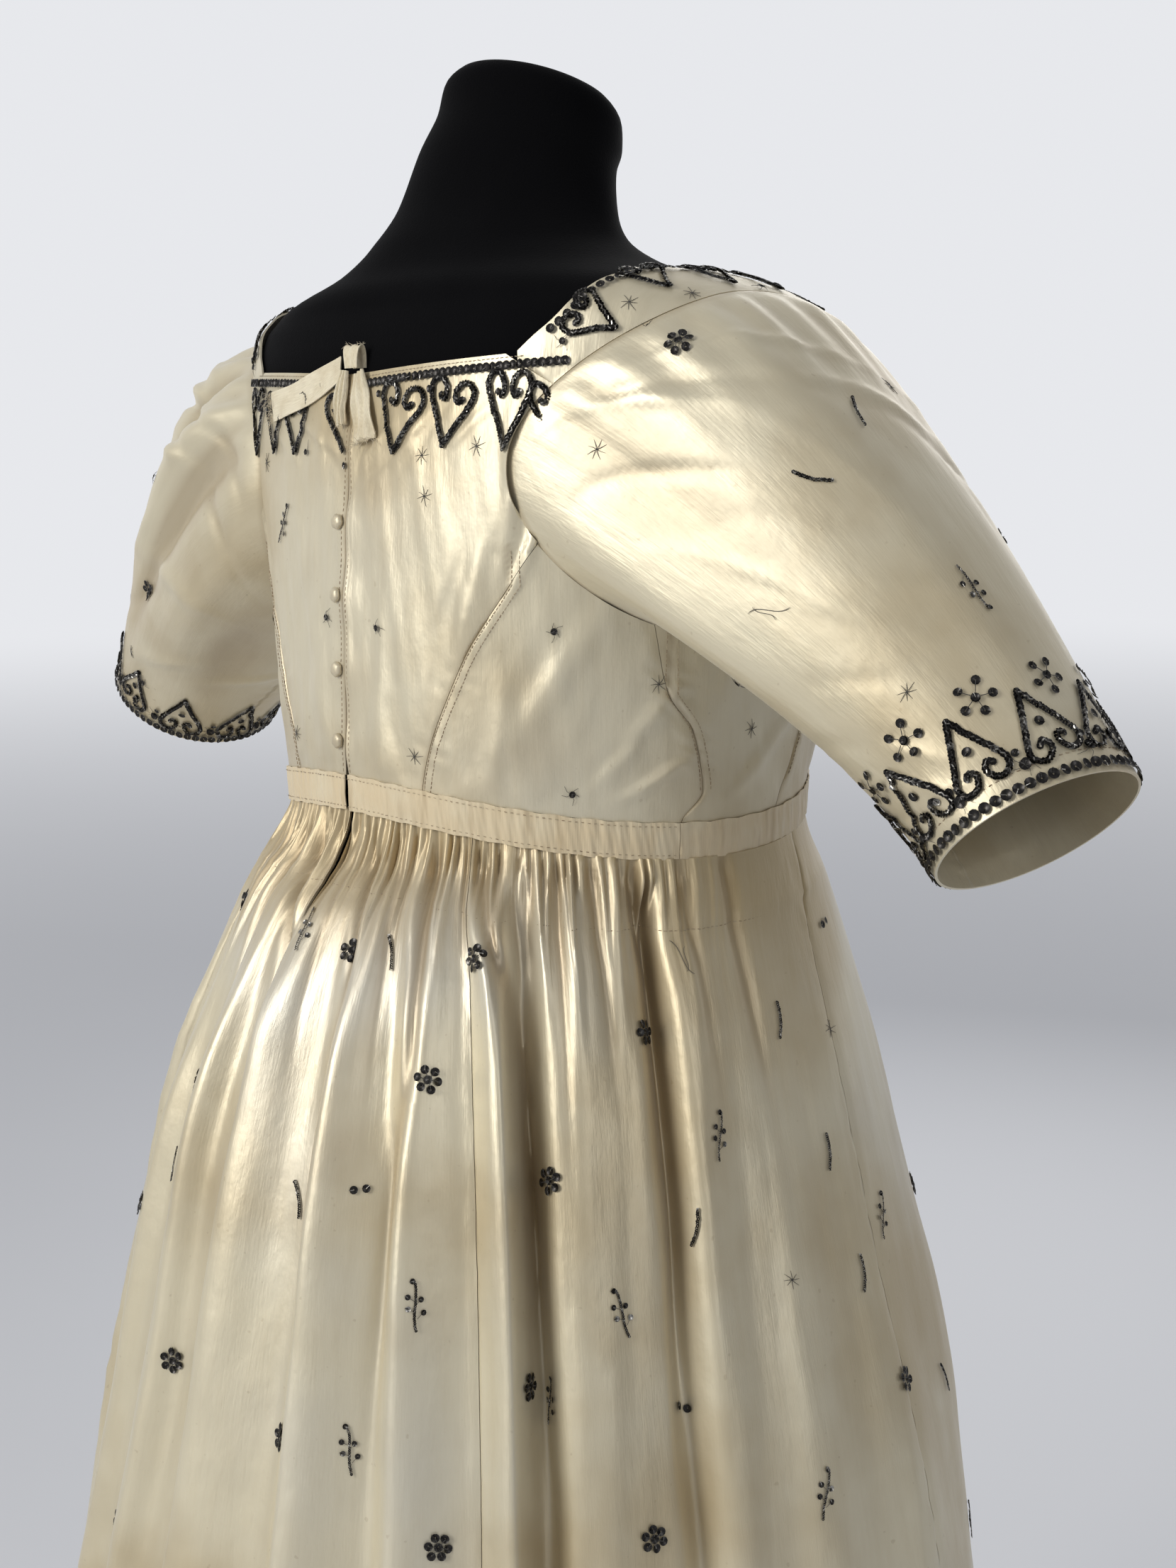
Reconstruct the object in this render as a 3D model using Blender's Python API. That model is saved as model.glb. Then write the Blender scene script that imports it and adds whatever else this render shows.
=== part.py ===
"""Regency gown of ivory silk satin, standing on a limbless dress form.

The wearer faces -Y with the right side at -X, and the origin is on the floor under the form.
Every surface is worked out from a polar angle around the upright axis and a height. The angle
is 0 at the centre back (+Y), 90 at the wearer's right side (-X) and 180 at the centre front.
"""
import bpy
import numpy as np

# Cloth and seams, in metres
BODICE_THICK = 0.0012
SKIRT_THICK = 0.0014
SLEEVE_THICK = 0.0012
BAND_THICK = 0.0016
SEAM_GAP = 0.0003
BAND_SEAM_GAP = 0.00042    # the bodice's flat facets above the band's finer ones
FORM_CLEARANCE = 0.0022
FORM_FRONT_CLEARANCE = 0.0050
FORM_WAIST_ROOM = 0.0045   # the form is this much slimmer at the waist, where the gathers stand

# Waistband
WAIST_HEIGHT = 1.125
WAIST_RISE = 0.0096        # the band stands this much higher at front and back than at the sides
BAND_HALF_WIDTH = 0.0078
BAND_OUT = 0.0003          # its edges stand this much outside the bodice's outline
BAND_ROUNDING = 0.0003     # and its middle this much more
BAND_JOIN = 75.0           # angle of the join in the ribbon on each side
BAND_BACK_COLUMNS = 12
BAND_FRONT_COLUMNS = 30

# Centre back opening: half of the gap between its edges, by height
OPENING_HEIGHTS = np.array((1.030, 1.080, 1.108, 1.133, 1.165, 1.340))
OPENING_HALF_GAPS = np.array((0.0003, 0.0004, 0.0016, 0.0016, 0.00025, 0.00015))
PLACKET_END = 1.078

# Gathers at the top of the skirt
GATHER_SPACING = 2.45      # degrees of waist for each gather, on average
GATHER_REACH = 82.0        # gathers run from the centre back to this angle on each side
GATHERS_THIN = (68.0, 86.0)    # between these angles they die away
GATHER_DEPTH = 0.0024
GATHER_FADE = 0.085        # height below the band over which the gathers die away
UNDER_BAND = 0.0018        # the skirt's top edge is this much further in than its section

# Stand
FORM_BOTTOM = 0.880
FORM_RING_HEIGHTS = (1.100, 1.120, 1.150, 1.190, 1.230, 1.270, 1.300)    # up to the neckline
NECK_CAP_SLOPE = 0.30      # the top of the neck falls toward the front
POLE_RADIUS = 0.016
BASE_RADIUS = 0.165
BASE_HEIGHT = 0.018
BASE_EDGE = 0.004

# Small pieces
BUTTON_RADIUS = 0.0036
BUTTON_RISE = 0.0028
BUTTON_HEIGHTS = (1.262, 1.228, 1.193, 1.159)
BUTTON_OFFSET = 0.0055     # from the centre back line, on the wearer's left
BUTTON_SIDES = 10
BUTTON_PROFILE = ((1.0, 0.0), (1.0, 0.45), (0.72, 0.82))    # share of the radius, share of the rise
TAPE_WIDTH = 0.0145
TAPE_THICK = 0.0010
TAPE_CLEARANCE = 0.0006
NECKLINE_RADIUS = 0.115    # of the bodice near the back neckline
KNOT_PLACE = (0.010, 1.3375, 0.0020)    # angle in radians, height, distance out
KNOT_RADII = (0.0066, 0.0042, 0.0068)

# Sections of the bodice and of the shoulders and neck, bottom to top
# Their columns are height, half_width, back, front, squareness and, for the torso, shift_back
SECTION_COLUMNS = ("height", "half_width", "back", "front", "squareness")
TORSO = np.array((
    (1.095, 0.1375, 0.1225, 0.1235, 2.10, 0.000),
    (1.125, 0.1390, 0.1240, 0.1250, 2.10, 0.000),
    (1.160, 0.1405, 0.1245, 0.1380, 2.15, 0.000),
    (1.200, 0.1435, 0.1235, 0.1490, 2.25, 0.000),
    (1.240, 0.1475, 0.1215, 0.1470, 2.40, 0.000),
    (1.280, 0.1555, 0.1185, 0.1340, 2.50, 0.000),
    (1.310, 0.1650, 0.1150, 0.1170, 2.50, 0.000),
    (1.330, 0.1700, 0.1120, 0.1040, 2.50, 0.000),
    (1.345, 0.1705, 0.1085, 0.0940, 2.50, 0.000),
    (1.355, 0.1660, 0.1010, 0.0820, 2.50, 0.004),
    (1.363, 0.1530, 0.0920, 0.0760, 2.50, 0.010),
    (1.370, 0.1360, 0.0840, 0.0700, 2.40, 0.017),
    (1.376, 0.1150, 0.0750, 0.0640, 2.30, 0.022),
    (1.384, 0.0930, 0.0670, 0.0570, 2.20, 0.022),
    (1.395, 0.0745, 0.0615, 0.0520, 2.10, 0.021),
    (1.412, 0.0620, 0.0560, 0.0480, 2.00, 0.015),
    (1.430, 0.0535, 0.0525, 0.0470, 2.00, 0.008),
    (1.446, 0.0490, 0.0490, 0.0455, 2.00, 0.000),
    (1.458, 0.0470, 0.0475, 0.0445, 2.00, -0.002),
    (1.466, 0.0410, 0.0420, 0.0390, 2.00, -0.003),
    (1.469, 0.0300, 0.0310, 0.0290, 2.00, -0.003),
))
# Sections of the form below the waist, where the skirt hides it
HIPS = np.array((
    (FORM_BOTTOM, 0.1250, 0.0950, 0.0900, 2.10),
    (0.960, 0.1380, 0.1080, 0.1000, 2.10),
    (1.030, 0.1350, 0.1120, 0.1050, 2.10),
    (1.095, 0.1356, 0.1206, 0.1216, 2.10),
))
# Sections of the skirt without its folds, hem to waist
SKIRT = np.array((
    (0.030, 0.3380, 0.3500, 0.2000, 2.00),
    (0.220, 0.3210, 0.3290, 0.1940, 2.00),
    (0.450, 0.2970, 0.3000, 0.1860, 2.00),
    (0.700, 0.2570, 0.2530, 0.1740, 2.00),
    (0.845, 0.2300, 0.2200, 0.1790, 2.00),
    (0.952, 0.1980, 0.1960, 0.1640, 2.05),
    (1.024, 0.1730, 0.1710, 0.1470, 2.10),
    (1.080, 0.1510, 0.1480, 0.1340, 2.10),
    (1.110, 0.1395, 0.1268, 0.1250, 2.10),
    (1.125, 0.1390, 0.1240, 0.1250, 2.10),
))
SKIRT_HEIGHTS = (1.102, 1.082, 1.048, 0.985, 0.870, 0.660, 0.350, 0.030)
FOLD_MEAN = 0.004              # taken off all round, so that the folds stand about the sections

# Seams, as the angle at each height: the outer edge of the back panel, the underarm seam and
# the front seam on the bodice, then the back and side seams on the skirt
SIDE_BACK_SEAM = np.array(((1.100, 21.6), (1.130, 22.2), (1.144, 22.9), (1.196, 32.0), (1.235, 43.0)))
UNDERARM_SEAM = np.array(((1.100, 74.0), (1.125, 75.4), (1.139, 80.1), (1.166, 77.7), (1.185, 72.0)))
FRONT_SEAM = np.array(((1.100, 100.0), (1.123, 101.2), (1.145, 106.5), (1.190, 114.0)))
SKIRT_BACK_SEAM = np.array(((0.030, 45.0), (0.450, 43.0), (0.830, 40.6), (0.945, 39.4),
                            (1.002, 38.4), (1.062, 36.6), (1.105, 34.0), (1.128, 34.0)))
SKIRT_SIDE_SEAM = np.array(((0.030, 92.0), (0.450, 94.0), (0.867, 95.4), (0.989, 98.0),
                            (1.044, 100.7), (1.072, 103.0), (1.105, 109.0), (1.128, 109.0)))

# Large folds of the skirt, on the cloth angle at the waist. The columns are angle, half_before and
# half_after (a fold's width on each side of its crest), depth, and the heights starts and full
# between which it grows
FOLDS = np.array((
    (-163.0, 11.0, 11.0, 0.0040, 1.060, 0.600),
    (-139.0, 10.0, 10.0, 0.0060, 1.070, 0.600),
    (-118.0, 9.0, 9.0, 0.0080, 1.080, 0.700),
    (-99.0, 8.0, 6.0, 0.0090, 1.090, 0.750),
    (-82.0, 8.0, 4.0, 0.0110, 1.095, 0.850),
    (-66.0, 7.5, 3.5, 0.0120, 1.100, 0.900),
    (-50.0, 6.5, 3.0, 0.0130, 1.100, 0.900),
    (-36.0, 6.0, 2.6, 0.0140, 1.100, 0.950),
    (-23.0, 5.5, 2.4, 0.0120, 1.100, 0.950),
    (-10.5, 4.5, 2.2, 0.0100, 1.100, 0.950),
    (1.0, 2.0, 6.0, 0.0130, 1.105, 0.980),
    (14.8, 2.0, 5.5, 0.0130, 1.105, 0.980),
    (26.0, 2.0, 5.0, 0.0120, 1.105, 1.000),
    (39.3, 4.5, 1.8, 0.0120, 1.110, 1.030),
    (43.2, 1.6, 2.6, -0.0070, 1.110, 1.030),
    (52.0, 6.0, 6.0, 0.0050, 1.100, 1.000),
    (67.8, 2.6, 2.0, -0.0070, 1.105, 1.040),
    (73.0, 3.0, 5.0, 0.0050, 1.100, 1.000),
    (88.0, 6.0, 6.0, 0.0060, 1.060, 0.750),
    (106.0, 7.0, 7.0, 0.0080, 1.050, 0.700),
    (128.0, 10.0, 10.0, 0.0060, 1.050, 0.600),
    (152.0, 11.0, 11.0, 0.0040, 1.050, 0.600),
    (176.0, 9.0, 9.0, 0.0050, 1.050, 0.600),
))

# Armhole, an egg-shaped loop seen from the side
ARMHOLE_Y, ARMHOLE_Z = 0.008, 1.285
ARMHOLE_HALF_DEPTH, ARMHOLE_HALF_HEIGHT = 0.094, 0.0755
ARMHOLE_SQUARENESS = 2.15
PANEL_ARMHOLE_SCALE = 1.004    # the panels' edge lies just outside the loop
SLEEVE_ARMHOLE_SCALE = 0.997   # and the sleeve's just inside it
SIDE_BACK_TOP = 1.2535         # heights at which the three bodice seams meet it
UNDERARM_TOP = 1.217
FRONT_SEAM_TOP = 1.235
SEAM_ROWS = 6                  # rows of points along each of these seams, the same on both its sides
STRAP_BACK_HEIGHT = 1.321      # where the strap seam meets the armhole at the back
STRAP_FRONT_HEIGHT = 1.275     # and at the front neckline
STRAP_FRONT_Y = -0.120
STRAP_END_TURN = 0.004         # radians left between the strap's back end and the back panel
BACK_NECKLINE = (1.3295, 1.3345)   # height at the centre back and at the corner
NECK_CORNER = 0.84             # the corner's place across the back panel
# Neck edge of the strap, back to front: the angle over the shoulder and the distance across
STRAP_NECK_EDGE = np.array(((27.0, 0.099), (37.0, 0.115), (44.0, 0.121), (55.0, 0.127),
                            (80.0, 0.131), (110.0, 0.129), (140.0, 0.116), (165.0, 0.102), (184.0, 0.098)))

# Sleeves: the cuff's centre and lean, its size, how the cloth leaves the armhole and the cuff
SLEEVE_COLUMNS = ("out", "back", "height", "lean_out", "lean_back", "cuff_radius", "cuff_ratio",
                  "leave", "leave_top", "leave_back", "puff", "arrive", "arrive_top", "lift")
SLEEVES = {
    "right": (0.303, 0.002, 1.139, 0.649, 0.117, 0.0440, 1.037,
              0.1217, 0.0474, -0.0024, -0.020, 0.1238, 0.0029, -0.312),
    "left": (0.310, 0.0186, 1.150, 0.578, -0.086, 0.0488, 1.018,
             0.190, 0.090, 0.020, 0.060, 0.1055, -0.0112, -0.206),
}
# Folds of the sleeves. The columns are round (the place round the armhole, in degrees),
# half_round, along (the place from the armhole to the cuff), half_along and depth
SLEEVE_FOLDS = {
    "right": np.array(((20.0, 14.0, 0.30, 0.20, -0.0030), (62.0, 12.0, 0.25, 0.18, 0.0030),
                       (112.0, 14.0, 0.30, 0.20, -0.0030), (300.0, 16.0, 0.45, 0.22, -0.0040),
                       (340.0, 14.0, 0.40, 0.25, 0.0030))),
    "left": np.array(((12.0, 11.0, 0.30, 0.24, -0.0075), (40.0, 9.0, 0.22, 0.20, 0.0050),
                      (62.0, 9.0, 0.30, 0.26, -0.0065), (92.0, 11.0, 0.25, 0.20, 0.0045),
                      (120.0, 10.0, 0.28, 0.22, -0.0050), (335.0, 12.0, 0.40, 0.25, 0.0050),
                      (300.0, 14.0, 0.45, 0.22, -0.0050))),
}
SLEEVE_GATHER_DEPTH = {"right": 0.0009, "left": 0.0018}
SLEEVE_GATHERS = 14            # over the head of each sleeve

COLOURS = {
    "satin": (0.72, 0.66, 0.52), "band": (0.66, 0.55, 0.38), "tape": (0.74, 0.68, 0.52),
    "velvet": (0.010, 0.010, 0.011), "stand": (0.02, 0.02, 0.02),
}
ROUGHNESS = {"satin": 0.45, "band": 0.5, "tape": 0.75, "velvet": 0.95, "stand": 0.4}


def smooth_read(x, xs, ys):
    """Read a table column between its rows, on a smooth curve that doesn't overshoot."""
    x = np.clip(np.asarray(x, float), xs[0], xs[-1])
    step = np.diff(xs)
    slope = np.diff(ys) / step
    bend = np.empty(len(ys))
    bend[0], bend[-1] = slope[0], slope[-1]
    product = slope[:-1] * slope[1:]
    total = np.where(product > 0, slope[:-1] + slope[1:], 1.0)
    bend[1:-1] = np.where(product > 0, 2 * product / total, 0.0)
    row = np.clip(np.searchsorted(xs, x) - 1, 0, len(xs) - 2)
    t = (x - xs[row]) / step[row]
    return ((2 * t**3 - 3 * t**2 + 1) * ys[row] + (t**3 - 2 * t**2 + t) * step[row] * bend[row]
            + (3 * t**2 - 2 * t**3) * ys[row + 1] + (t**3 - t**2) * step[row] * bend[row + 1])


def smooth_step(low, high, x):
    """0 at low, 1 at high and beyond, with soft ends; high may be the smaller of the two."""
    t = np.clip((np.asarray(x, float) - low) / (high - low), 0.0, 1.0)
    return t * t * (3 - 2 * t)


def section(table, height):
    return [smooth_read(height, table[:, 0], table[:, k]) for k in range(1, len(SECTION_COLUMNS))]


def shift_back(height):
    """How far back the middle of the shoulder and neck sections lies."""
    return smooth_read(height, TORSO[:, 0], TORSO[:, -1])


def oval(angle, half_width, back, front, squareness):
    depth = np.where(np.cos(angle) > 0, back, front)
    return ((np.abs(np.sin(angle)) / half_width) ** squareness
            + (np.abs(np.cos(angle)) / depth) ** squareness) ** (-1 / squareness)


def polar(angle, radius, height):
    return np.stack(np.broadcast_arrays(-radius * np.sin(angle), radius * np.cos(angle), height), -1)


def torso_radius(angle, height):
    return oval(angle, *section(TORSO, height))


def torso_point(angle, height, out=0.0):
    """A point of the bodice's outer face, moved out along the face's own direction."""
    small = 1e-4
    point = polar(angle, torso_radius(angle, height), height)
    if np.all(np.asarray(out) == 0.0):
        return point
    around = polar(angle + small, torso_radius(angle + small, height), height) - point
    upward = polar(angle, torso_radius(angle, height + small), height + small) - point
    normal = np.cross(around, upward)
    normal /= np.linalg.norm(normal, axis=-1, keepdims=True)
    return point + normal * np.asarray(out)[..., None]


def torso_across(y, height):
    """How far the bodice's outer face reaches to the side at a given depth and height."""
    half_width, back, front, squareness = section(TORSO, height)
    y = y - shift_back(height)
    depth = np.where(y > 0, back, front)
    inside = np.clip(1 - (np.abs(y) / depth) ** squareness, 0, 1)
    return half_width * inside ** (1 / squareness)


def armhole(round_angle, scale=1.0):
    """The wearer's right armhole: 0 at the back, 90 at the shoulder, 180 in front, in radians."""
    power = 2 / ARMHOLE_SQUARENESS
    c, s = np.cos(round_angle), np.sin(round_angle)
    y = ARMHOLE_Y + scale * ARMHOLE_HALF_DEPTH * np.sign(c) * np.abs(c) ** power
    z = ARMHOLE_Z + scale * ARMHOLE_HALF_HEIGHT * np.sign(s) * np.abs(s) ** power
    return np.stack([-torso_across(y, z), y, z], -1)


def armhole_angle(height, front=False):
    """The place round the armhole, in radians, that lies at a height, at the back or in front."""
    rise = (height - ARMHOLE_Z) / ARMHOLE_HALF_HEIGHT
    place = np.arcsin(np.clip(np.sign(rise) * np.abs(rise) ** (ARMHOLE_SQUARENESS / 2), -1, 1))
    return np.pi - place if front else place


def as_angle(point):
    """Polar angle, in radians from 0 to a full turn, of a point on the right half."""
    return np.arctan2(-point[..., 0], point[..., 1])


def band_rise(angle):
    return WAIST_RISE * np.cos(2 * angle)


def opening_gap(height):
    return np.interp(height, OPENING_HEIGHTS, OPENING_HALF_GAPS)


def wall(name, outer, inner, finish, keep=None, closed=False):
    """A closed cloth wall from two grids of points; keep marks the grid's cells that hold cloth."""
    rows, columns = outer.shape[:2]
    last = columns if closed else columns - 1
    points = np.concatenate([outer.reshape(-1, 3), inner.reshape(-1, 3)])
    offset = rows * columns
    faces, edges = [], {}
    for i in range(rows - 1):
        for j in range(last):
            if keep is not None and not keep[i, j]:
                continue
            k = (j + 1) % columns
            face = (i * columns + j, i * columns + k, (i + 1) * columns + k, (i + 1) * columns + j)
            faces.append(face)
            faces.append(tuple(offset + index for index in reversed(face)))
            for n in range(4):
                a, b = face[n], face[(n + 1) % 4]
                if (b, a) in edges:
                    del edges[(b, a)]
                else:
                    edges[(a, b)] = True
    for a, b in edges:
        faces.append((b, a, offset + a, offset + b))
    return solid(name, points, faces, finish)


def solid(name, points, faces, finish, smooth_angle=50.0):
    """An object with outward faces from points and faces, without unused points."""
    used = sorted({index for face in faces for index in face})
    place = {index: n for n, index in enumerate(used)}
    points = points[used]
    faces = [tuple(place[index] for index in face) for face in faces]
    volume = 0.0
    for face in faces:
        a = points[face[0]]
        for n in range(1, len(face) - 1):
            volume += np.dot(a, np.cross(points[face[n]], points[face[n + 1]]))
    if volume < 0:
        faces = [tuple(reversed(face)) for face in faces]
    mesh = bpy.data.meshes.new(name)
    mesh.from_pydata(points.tolist(), [], faces)
    mesh.validate()
    mesh.shade_smooth()
    mesh.set_sharp_from_angle(angle=np.radians(smooth_angle))
    mesh.materials.append(finish)
    thing = bpy.data.objects.new(name, mesh)
    bpy.context.scene.collection.objects.link(thing)
    return thing


def mirrored(grid):
    return grid * np.array((-1.0, 1.0, 1.0))


def finish(kind):
    material = bpy.data.materials.get(kind) or bpy.data.materials.new(kind)
    material.use_nodes = True
    shader = material.node_tree.nodes["Principled BSDF"]
    shader.inputs["Base Color"].default_value = (*COLOURS[kind], 1.0)
    shader.inputs["Roughness"].default_value = ROUGHNESS[kind]
    shader.inputs["Metallic"].default_value = 0.0
    return material


def closed_rings(name, rings, kind):
    """A solid from a stack of rings of points, with flat ends."""
    count = len(rings[0])
    points = np.concatenate(rings)
    faces = [tuple(range(count)), tuple(len(points) - count + n for n in reversed(range(count)))]
    for i in range(len(rings) - 1):
        for j in range(count):
            k = (j + 1) % count
            faces.append((i * count + k, i * count + j, (i + 1) * count + j, (i + 1) * count + k))
    return solid(name, points, faces, finish(kind))


# The form and its stand
def dress_form():
    angles = np.radians(np.arange(0.0, 360.0, 12.0))
    rings = []
    for height in HIPS[:-1, 0]:
        rings.append(polar(angles, oval(angles, *section(HIPS, height)), height))
    above = TORSO[TORSO[:, 0] > FORM_RING_HEIGHTS[-1] + 0.011, 0]
    for height in (*FORM_RING_HEIGHTS, *above):
        half_width, back, front, squareness = section(TORSO, height)
        waist_room = FORM_WAIST_ROOM * (1 - smooth_step(1.115, 1.165, height))
        less = FORM_CLEARANCE + waist_room
        in_front = FORM_FRONT_CLEARANCE + waist_room
        ring = polar(angles, oval(angles, half_width - less, back - less, front - in_front,
                                  squareness), height)
        steepness = smooth_step(1.335, 1.375, height) * (1 - smooth_step(1.40, 1.43, height))
        ring[:, 1] += shift_back(height)
        ring[:, 2] -= 1.5 * less * steepness
        ring[:, 2] += NECK_CAP_SLOPE * smooth_step(1.410, 1.455, height) * ring[:, 1]
        rings.append(ring)
    closed_rings("form_body", rings, "velvet")


def form_stand():
    round_angles = np.radians(np.arange(0.0, 360.0, 15.0))
    pole = [polar(round_angles, POLE_RADIUS, height)
            for height in (BASE_HEIGHT + SEAM_GAP, FORM_BOTTOM - SEAM_GAP)]
    closed_rings("form_pole", pole, "stand")
    profile = ((BASE_RADIUS, 0.0), (BASE_RADIUS, BASE_HEIGHT - BASE_EDGE),
               (BASE_RADIUS - BASE_EDGE, BASE_HEIGHT))
    base = [polar(round_angles, radius, height) for radius, height in profile]
    closed_rings("form_base", base, "stand")


# The bodice
def back_edge_angle(height):
    """Outer edge of the back panel: the side-back seam below, the armhole above."""
    corner = as_angle(armhole(armhole_angle(SIDE_BACK_TOP)))
    heights = np.append(SIDE_BACK_SEAM[:, 0], SIDE_BACK_TOP)
    angles = np.append(np.radians(SIDE_BACK_SEAM[:, 1]), corner)
    seam = smooth_read(height, heights, angles)
    return np.where(height < SIDE_BACK_TOP, seam, as_angle(armhole(armhole_angle(height))))


def bodice_bottom(angle):
    return WAIST_HEIGHT + band_rise(angle) + BAND_HALF_WIDTH + BAND_SEAM_GAP


def back_panel():
    """The wearer's right back: from the centre back to the side-back seam and armhole."""
    across = np.array((0.0, 0.2, 0.4, 0.6, NECK_CORNER, 1.0))
    edge_angle = np.radians(SIDE_BACK_SEAM[1, 1])
    edge_bottom = bodice_bottom(edge_angle)
    seam_heights = np.linspace(edge_bottom, SIDE_BACK_TOP, SEAM_ROWS)
    armhole_heights = np.linspace(SIDE_BACK_TOP, STRAP_BACK_HEIGHT, 6)[1:]
    rows = []
    for edge_height in np.concatenate([seam_heights, armhole_heights]):
        v = (edge_height - edge_bottom) / (STRAP_BACK_HEIGHT - edge_bottom)
        row = []
        for u in across:
            top = np.interp(u, (0.0, NECK_CORNER, 1.0), (*BACK_NECKLINE, STRAP_BACK_HEIGHT))
            height = bodice_bottom(u * edge_angle) * (1 - v) + top * v
            radius = torso_radius(edge_angle, height)
            start = opening_gap(height) / radius
            end = float(back_edge_angle(edge_height)) - SEAM_GAP / 2 / radius
            if u > NECK_CORNER:
                height = edge_height
            row.append((start + (end - start) * u, float(height)))
        rows.append(row)
    return np.array(rows)


def patch(bottom, top, left, right, columns, rows):
    """Angles and heights over a four-sided panel whose sides are curves."""
    u = np.linspace(0, 1, columns)[None, :, None]
    v = np.linspace(0, 1, rows)[:, None, None]
    low, high = bottom(u[0, :, 0])[None], top(u[0, :, 0])[None]
    first, last = left(v[:, 0, 0])[:, None], right(v[:, 0, 0])[:, None]
    corners = ((1 - u) * (1 - v) * low[:, :1] + u * (1 - v) * low[:, -1:]
               + (1 - u) * v * high[:, :1] + u * v * high[:, -1:])
    return (1 - v) * low + v * high + (1 - u) * first + u * last - corners


def seam_curve(table, armhole_place, inward):
    """A bodice seam from the waist to the armhole, as a curve of angle and height."""
    end = armhole(np.array(armhole_place))
    waist_angle = table[1, 1] if table is SIDE_BACK_SEAM else table[0, 1]
    heights = np.append(table[:, 0], end[2])
    angles = np.append(np.radians(table[:, 1]), as_angle(end))

    def curve(v):
        height = bodice_bottom(np.radians(waist_angle)) * (1 - v) + end[2] * v
        angle = smooth_read(height, heights, angles)
        return np.stack([angle + inward * SEAM_GAP / 2 / torso_radius(angle, height), height], -1)
    return curve


def side_patch(first_table, last_table, first_place, last_place, columns):
    """A bodice side panel between two seams, its top along the armhole."""
    left = seam_curve(first_table, first_place, 1.0)
    right = seam_curve(last_table, last_place, -1.0)

    def bottom(u):
        angle = left(np.zeros(1))[0, 0] * (1 - u) + right(np.zeros(1))[0, 0] * u
        return np.stack([angle, bodice_bottom(angle)], -1)

    def top(u):
        place = first_place * (1 - u) + last_place * u
        edge = armhole(place, PANEL_ARMHOLE_SCALE)
        ends = np.stack([left(np.ones(1))[0], right(np.ones(1))[0]])
        curve = np.stack([as_angle(edge), edge[:, 2]], -1)
        curve[0], curve[-1] = ends[0], ends[1]
        return curve
    return patch(bottom, top, left, right, columns, SEAM_ROWS)


def front_edge_angle(height):
    """Side edge of the front panel: the front seam below, the armhole above."""
    corner = as_angle(armhole(armhole_angle(FRONT_SEAM_TOP, True)))
    heights = np.append(FRONT_SEAM[:, 0], FRONT_SEAM_TOP)
    angles = np.append(np.radians(FRONT_SEAM[:, 1]), corner)
    seam = smooth_read(height, heights, angles)
    return np.where(height < FRONT_SEAM_TOP, seam, as_angle(armhole(armhole_angle(height, True))))


def front_panel():
    across = np.linspace(-1, 1, 15)
    waist_angle = np.radians(FRONT_SEAM[0, 1])
    edge_bottom = bodice_bottom(waist_angle)
    seam_heights = np.linspace(edge_bottom, FRONT_SEAM_TOP, SEAM_ROWS)
    armhole_heights = np.linspace(FRONT_SEAM_TOP, STRAP_FRONT_HEIGHT, 4)[1:]
    rows = []
    for edge_height in np.concatenate([seam_heights, armhole_heights]):
        v = (edge_height - edge_bottom) / (STRAP_FRONT_HEIGHT - edge_bottom)
        row = []
        for u in across:
            edge = float(front_edge_angle(edge_height))
            edge += SEAM_GAP / 2 / float(torso_radius(edge, edge_height))
            angle = np.pi + u * (np.pi - edge)
            bottom = bodice_bottom(np.pi + u * (np.pi - waist_angle))
            height = bottom * (1 - v) + STRAP_FRONT_HEIGHT * v
            row.append((angle, float(height)))
        rows.append(row)
    return np.array(rows)


def over_shoulder(x, turn):
    """A point of the shoulder's outer face at a distance across and an angle over the shoulder."""
    reach = np.linspace(0.02, 0.16, 1401)
    y = reach * np.cos(turn)
    z = ARMHOLE_Z + reach * np.sin(turn)
    inside = torso_across(y, z) > abs(x)
    last = np.where(inside)[0][-1]
    return np.array((-abs(x), y[last], z[last]))


def strap():
    """The shoulder strap, from the back seam over the shoulder to the front neckline."""
    places = np.linspace(0, 1, 25)
    back = float(armhole_angle(STRAP_BACK_HEIGHT)) + STRAP_END_TURN
    front = float(armhole_angle(STRAP_FRONT_HEIGHT + SEAM_GAP, True))
    neck_back = np.radians(STRAP_NECK_EDGE[0, 0]) + STRAP_END_TURN
    neck_front = np.arctan2(STRAP_FRONT_HEIGHT + SEAM_GAP - ARMHOLE_Z, STRAP_FRONT_Y)
    neck_front = neck_front % (2 * np.pi)
    rows = []
    for s in places:
        outer = armhole(np.array(back + (front - back) * s), PANEL_ARMHOLE_SCALE)
        turn = neck_back + (neck_front - neck_back) * s
        across = smooth_read(np.degrees(turn), STRAP_NECK_EDGE[:, 0], STRAP_NECK_EDGE[:, 1])
        inner = over_shoulder(float(across), turn)
        row = []
        for t in np.linspace(0, 1, 4):
            aim = inner * (1 - t) + outer * t
            angle = np.arctan2(aim[2] - ARMHOLE_Z, aim[1])
            row.append(over_shoulder(aim[0], angle))
        row[-1] = outer
        rows.append(row)
    return np.array(rows)


def surface_normals(grid, closed=False):
    """Directions square to a grid of points."""
    down = np.gradient(grid, axis=0)
    if closed:
        along = np.roll(grid, -1, 1) - np.roll(grid, 1, 1)
    else:
        along = np.gradient(grid, axis=1)
    normal = np.cross(down, along)
    return normal / np.linalg.norm(normal, axis=-1, keepdims=True)


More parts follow.
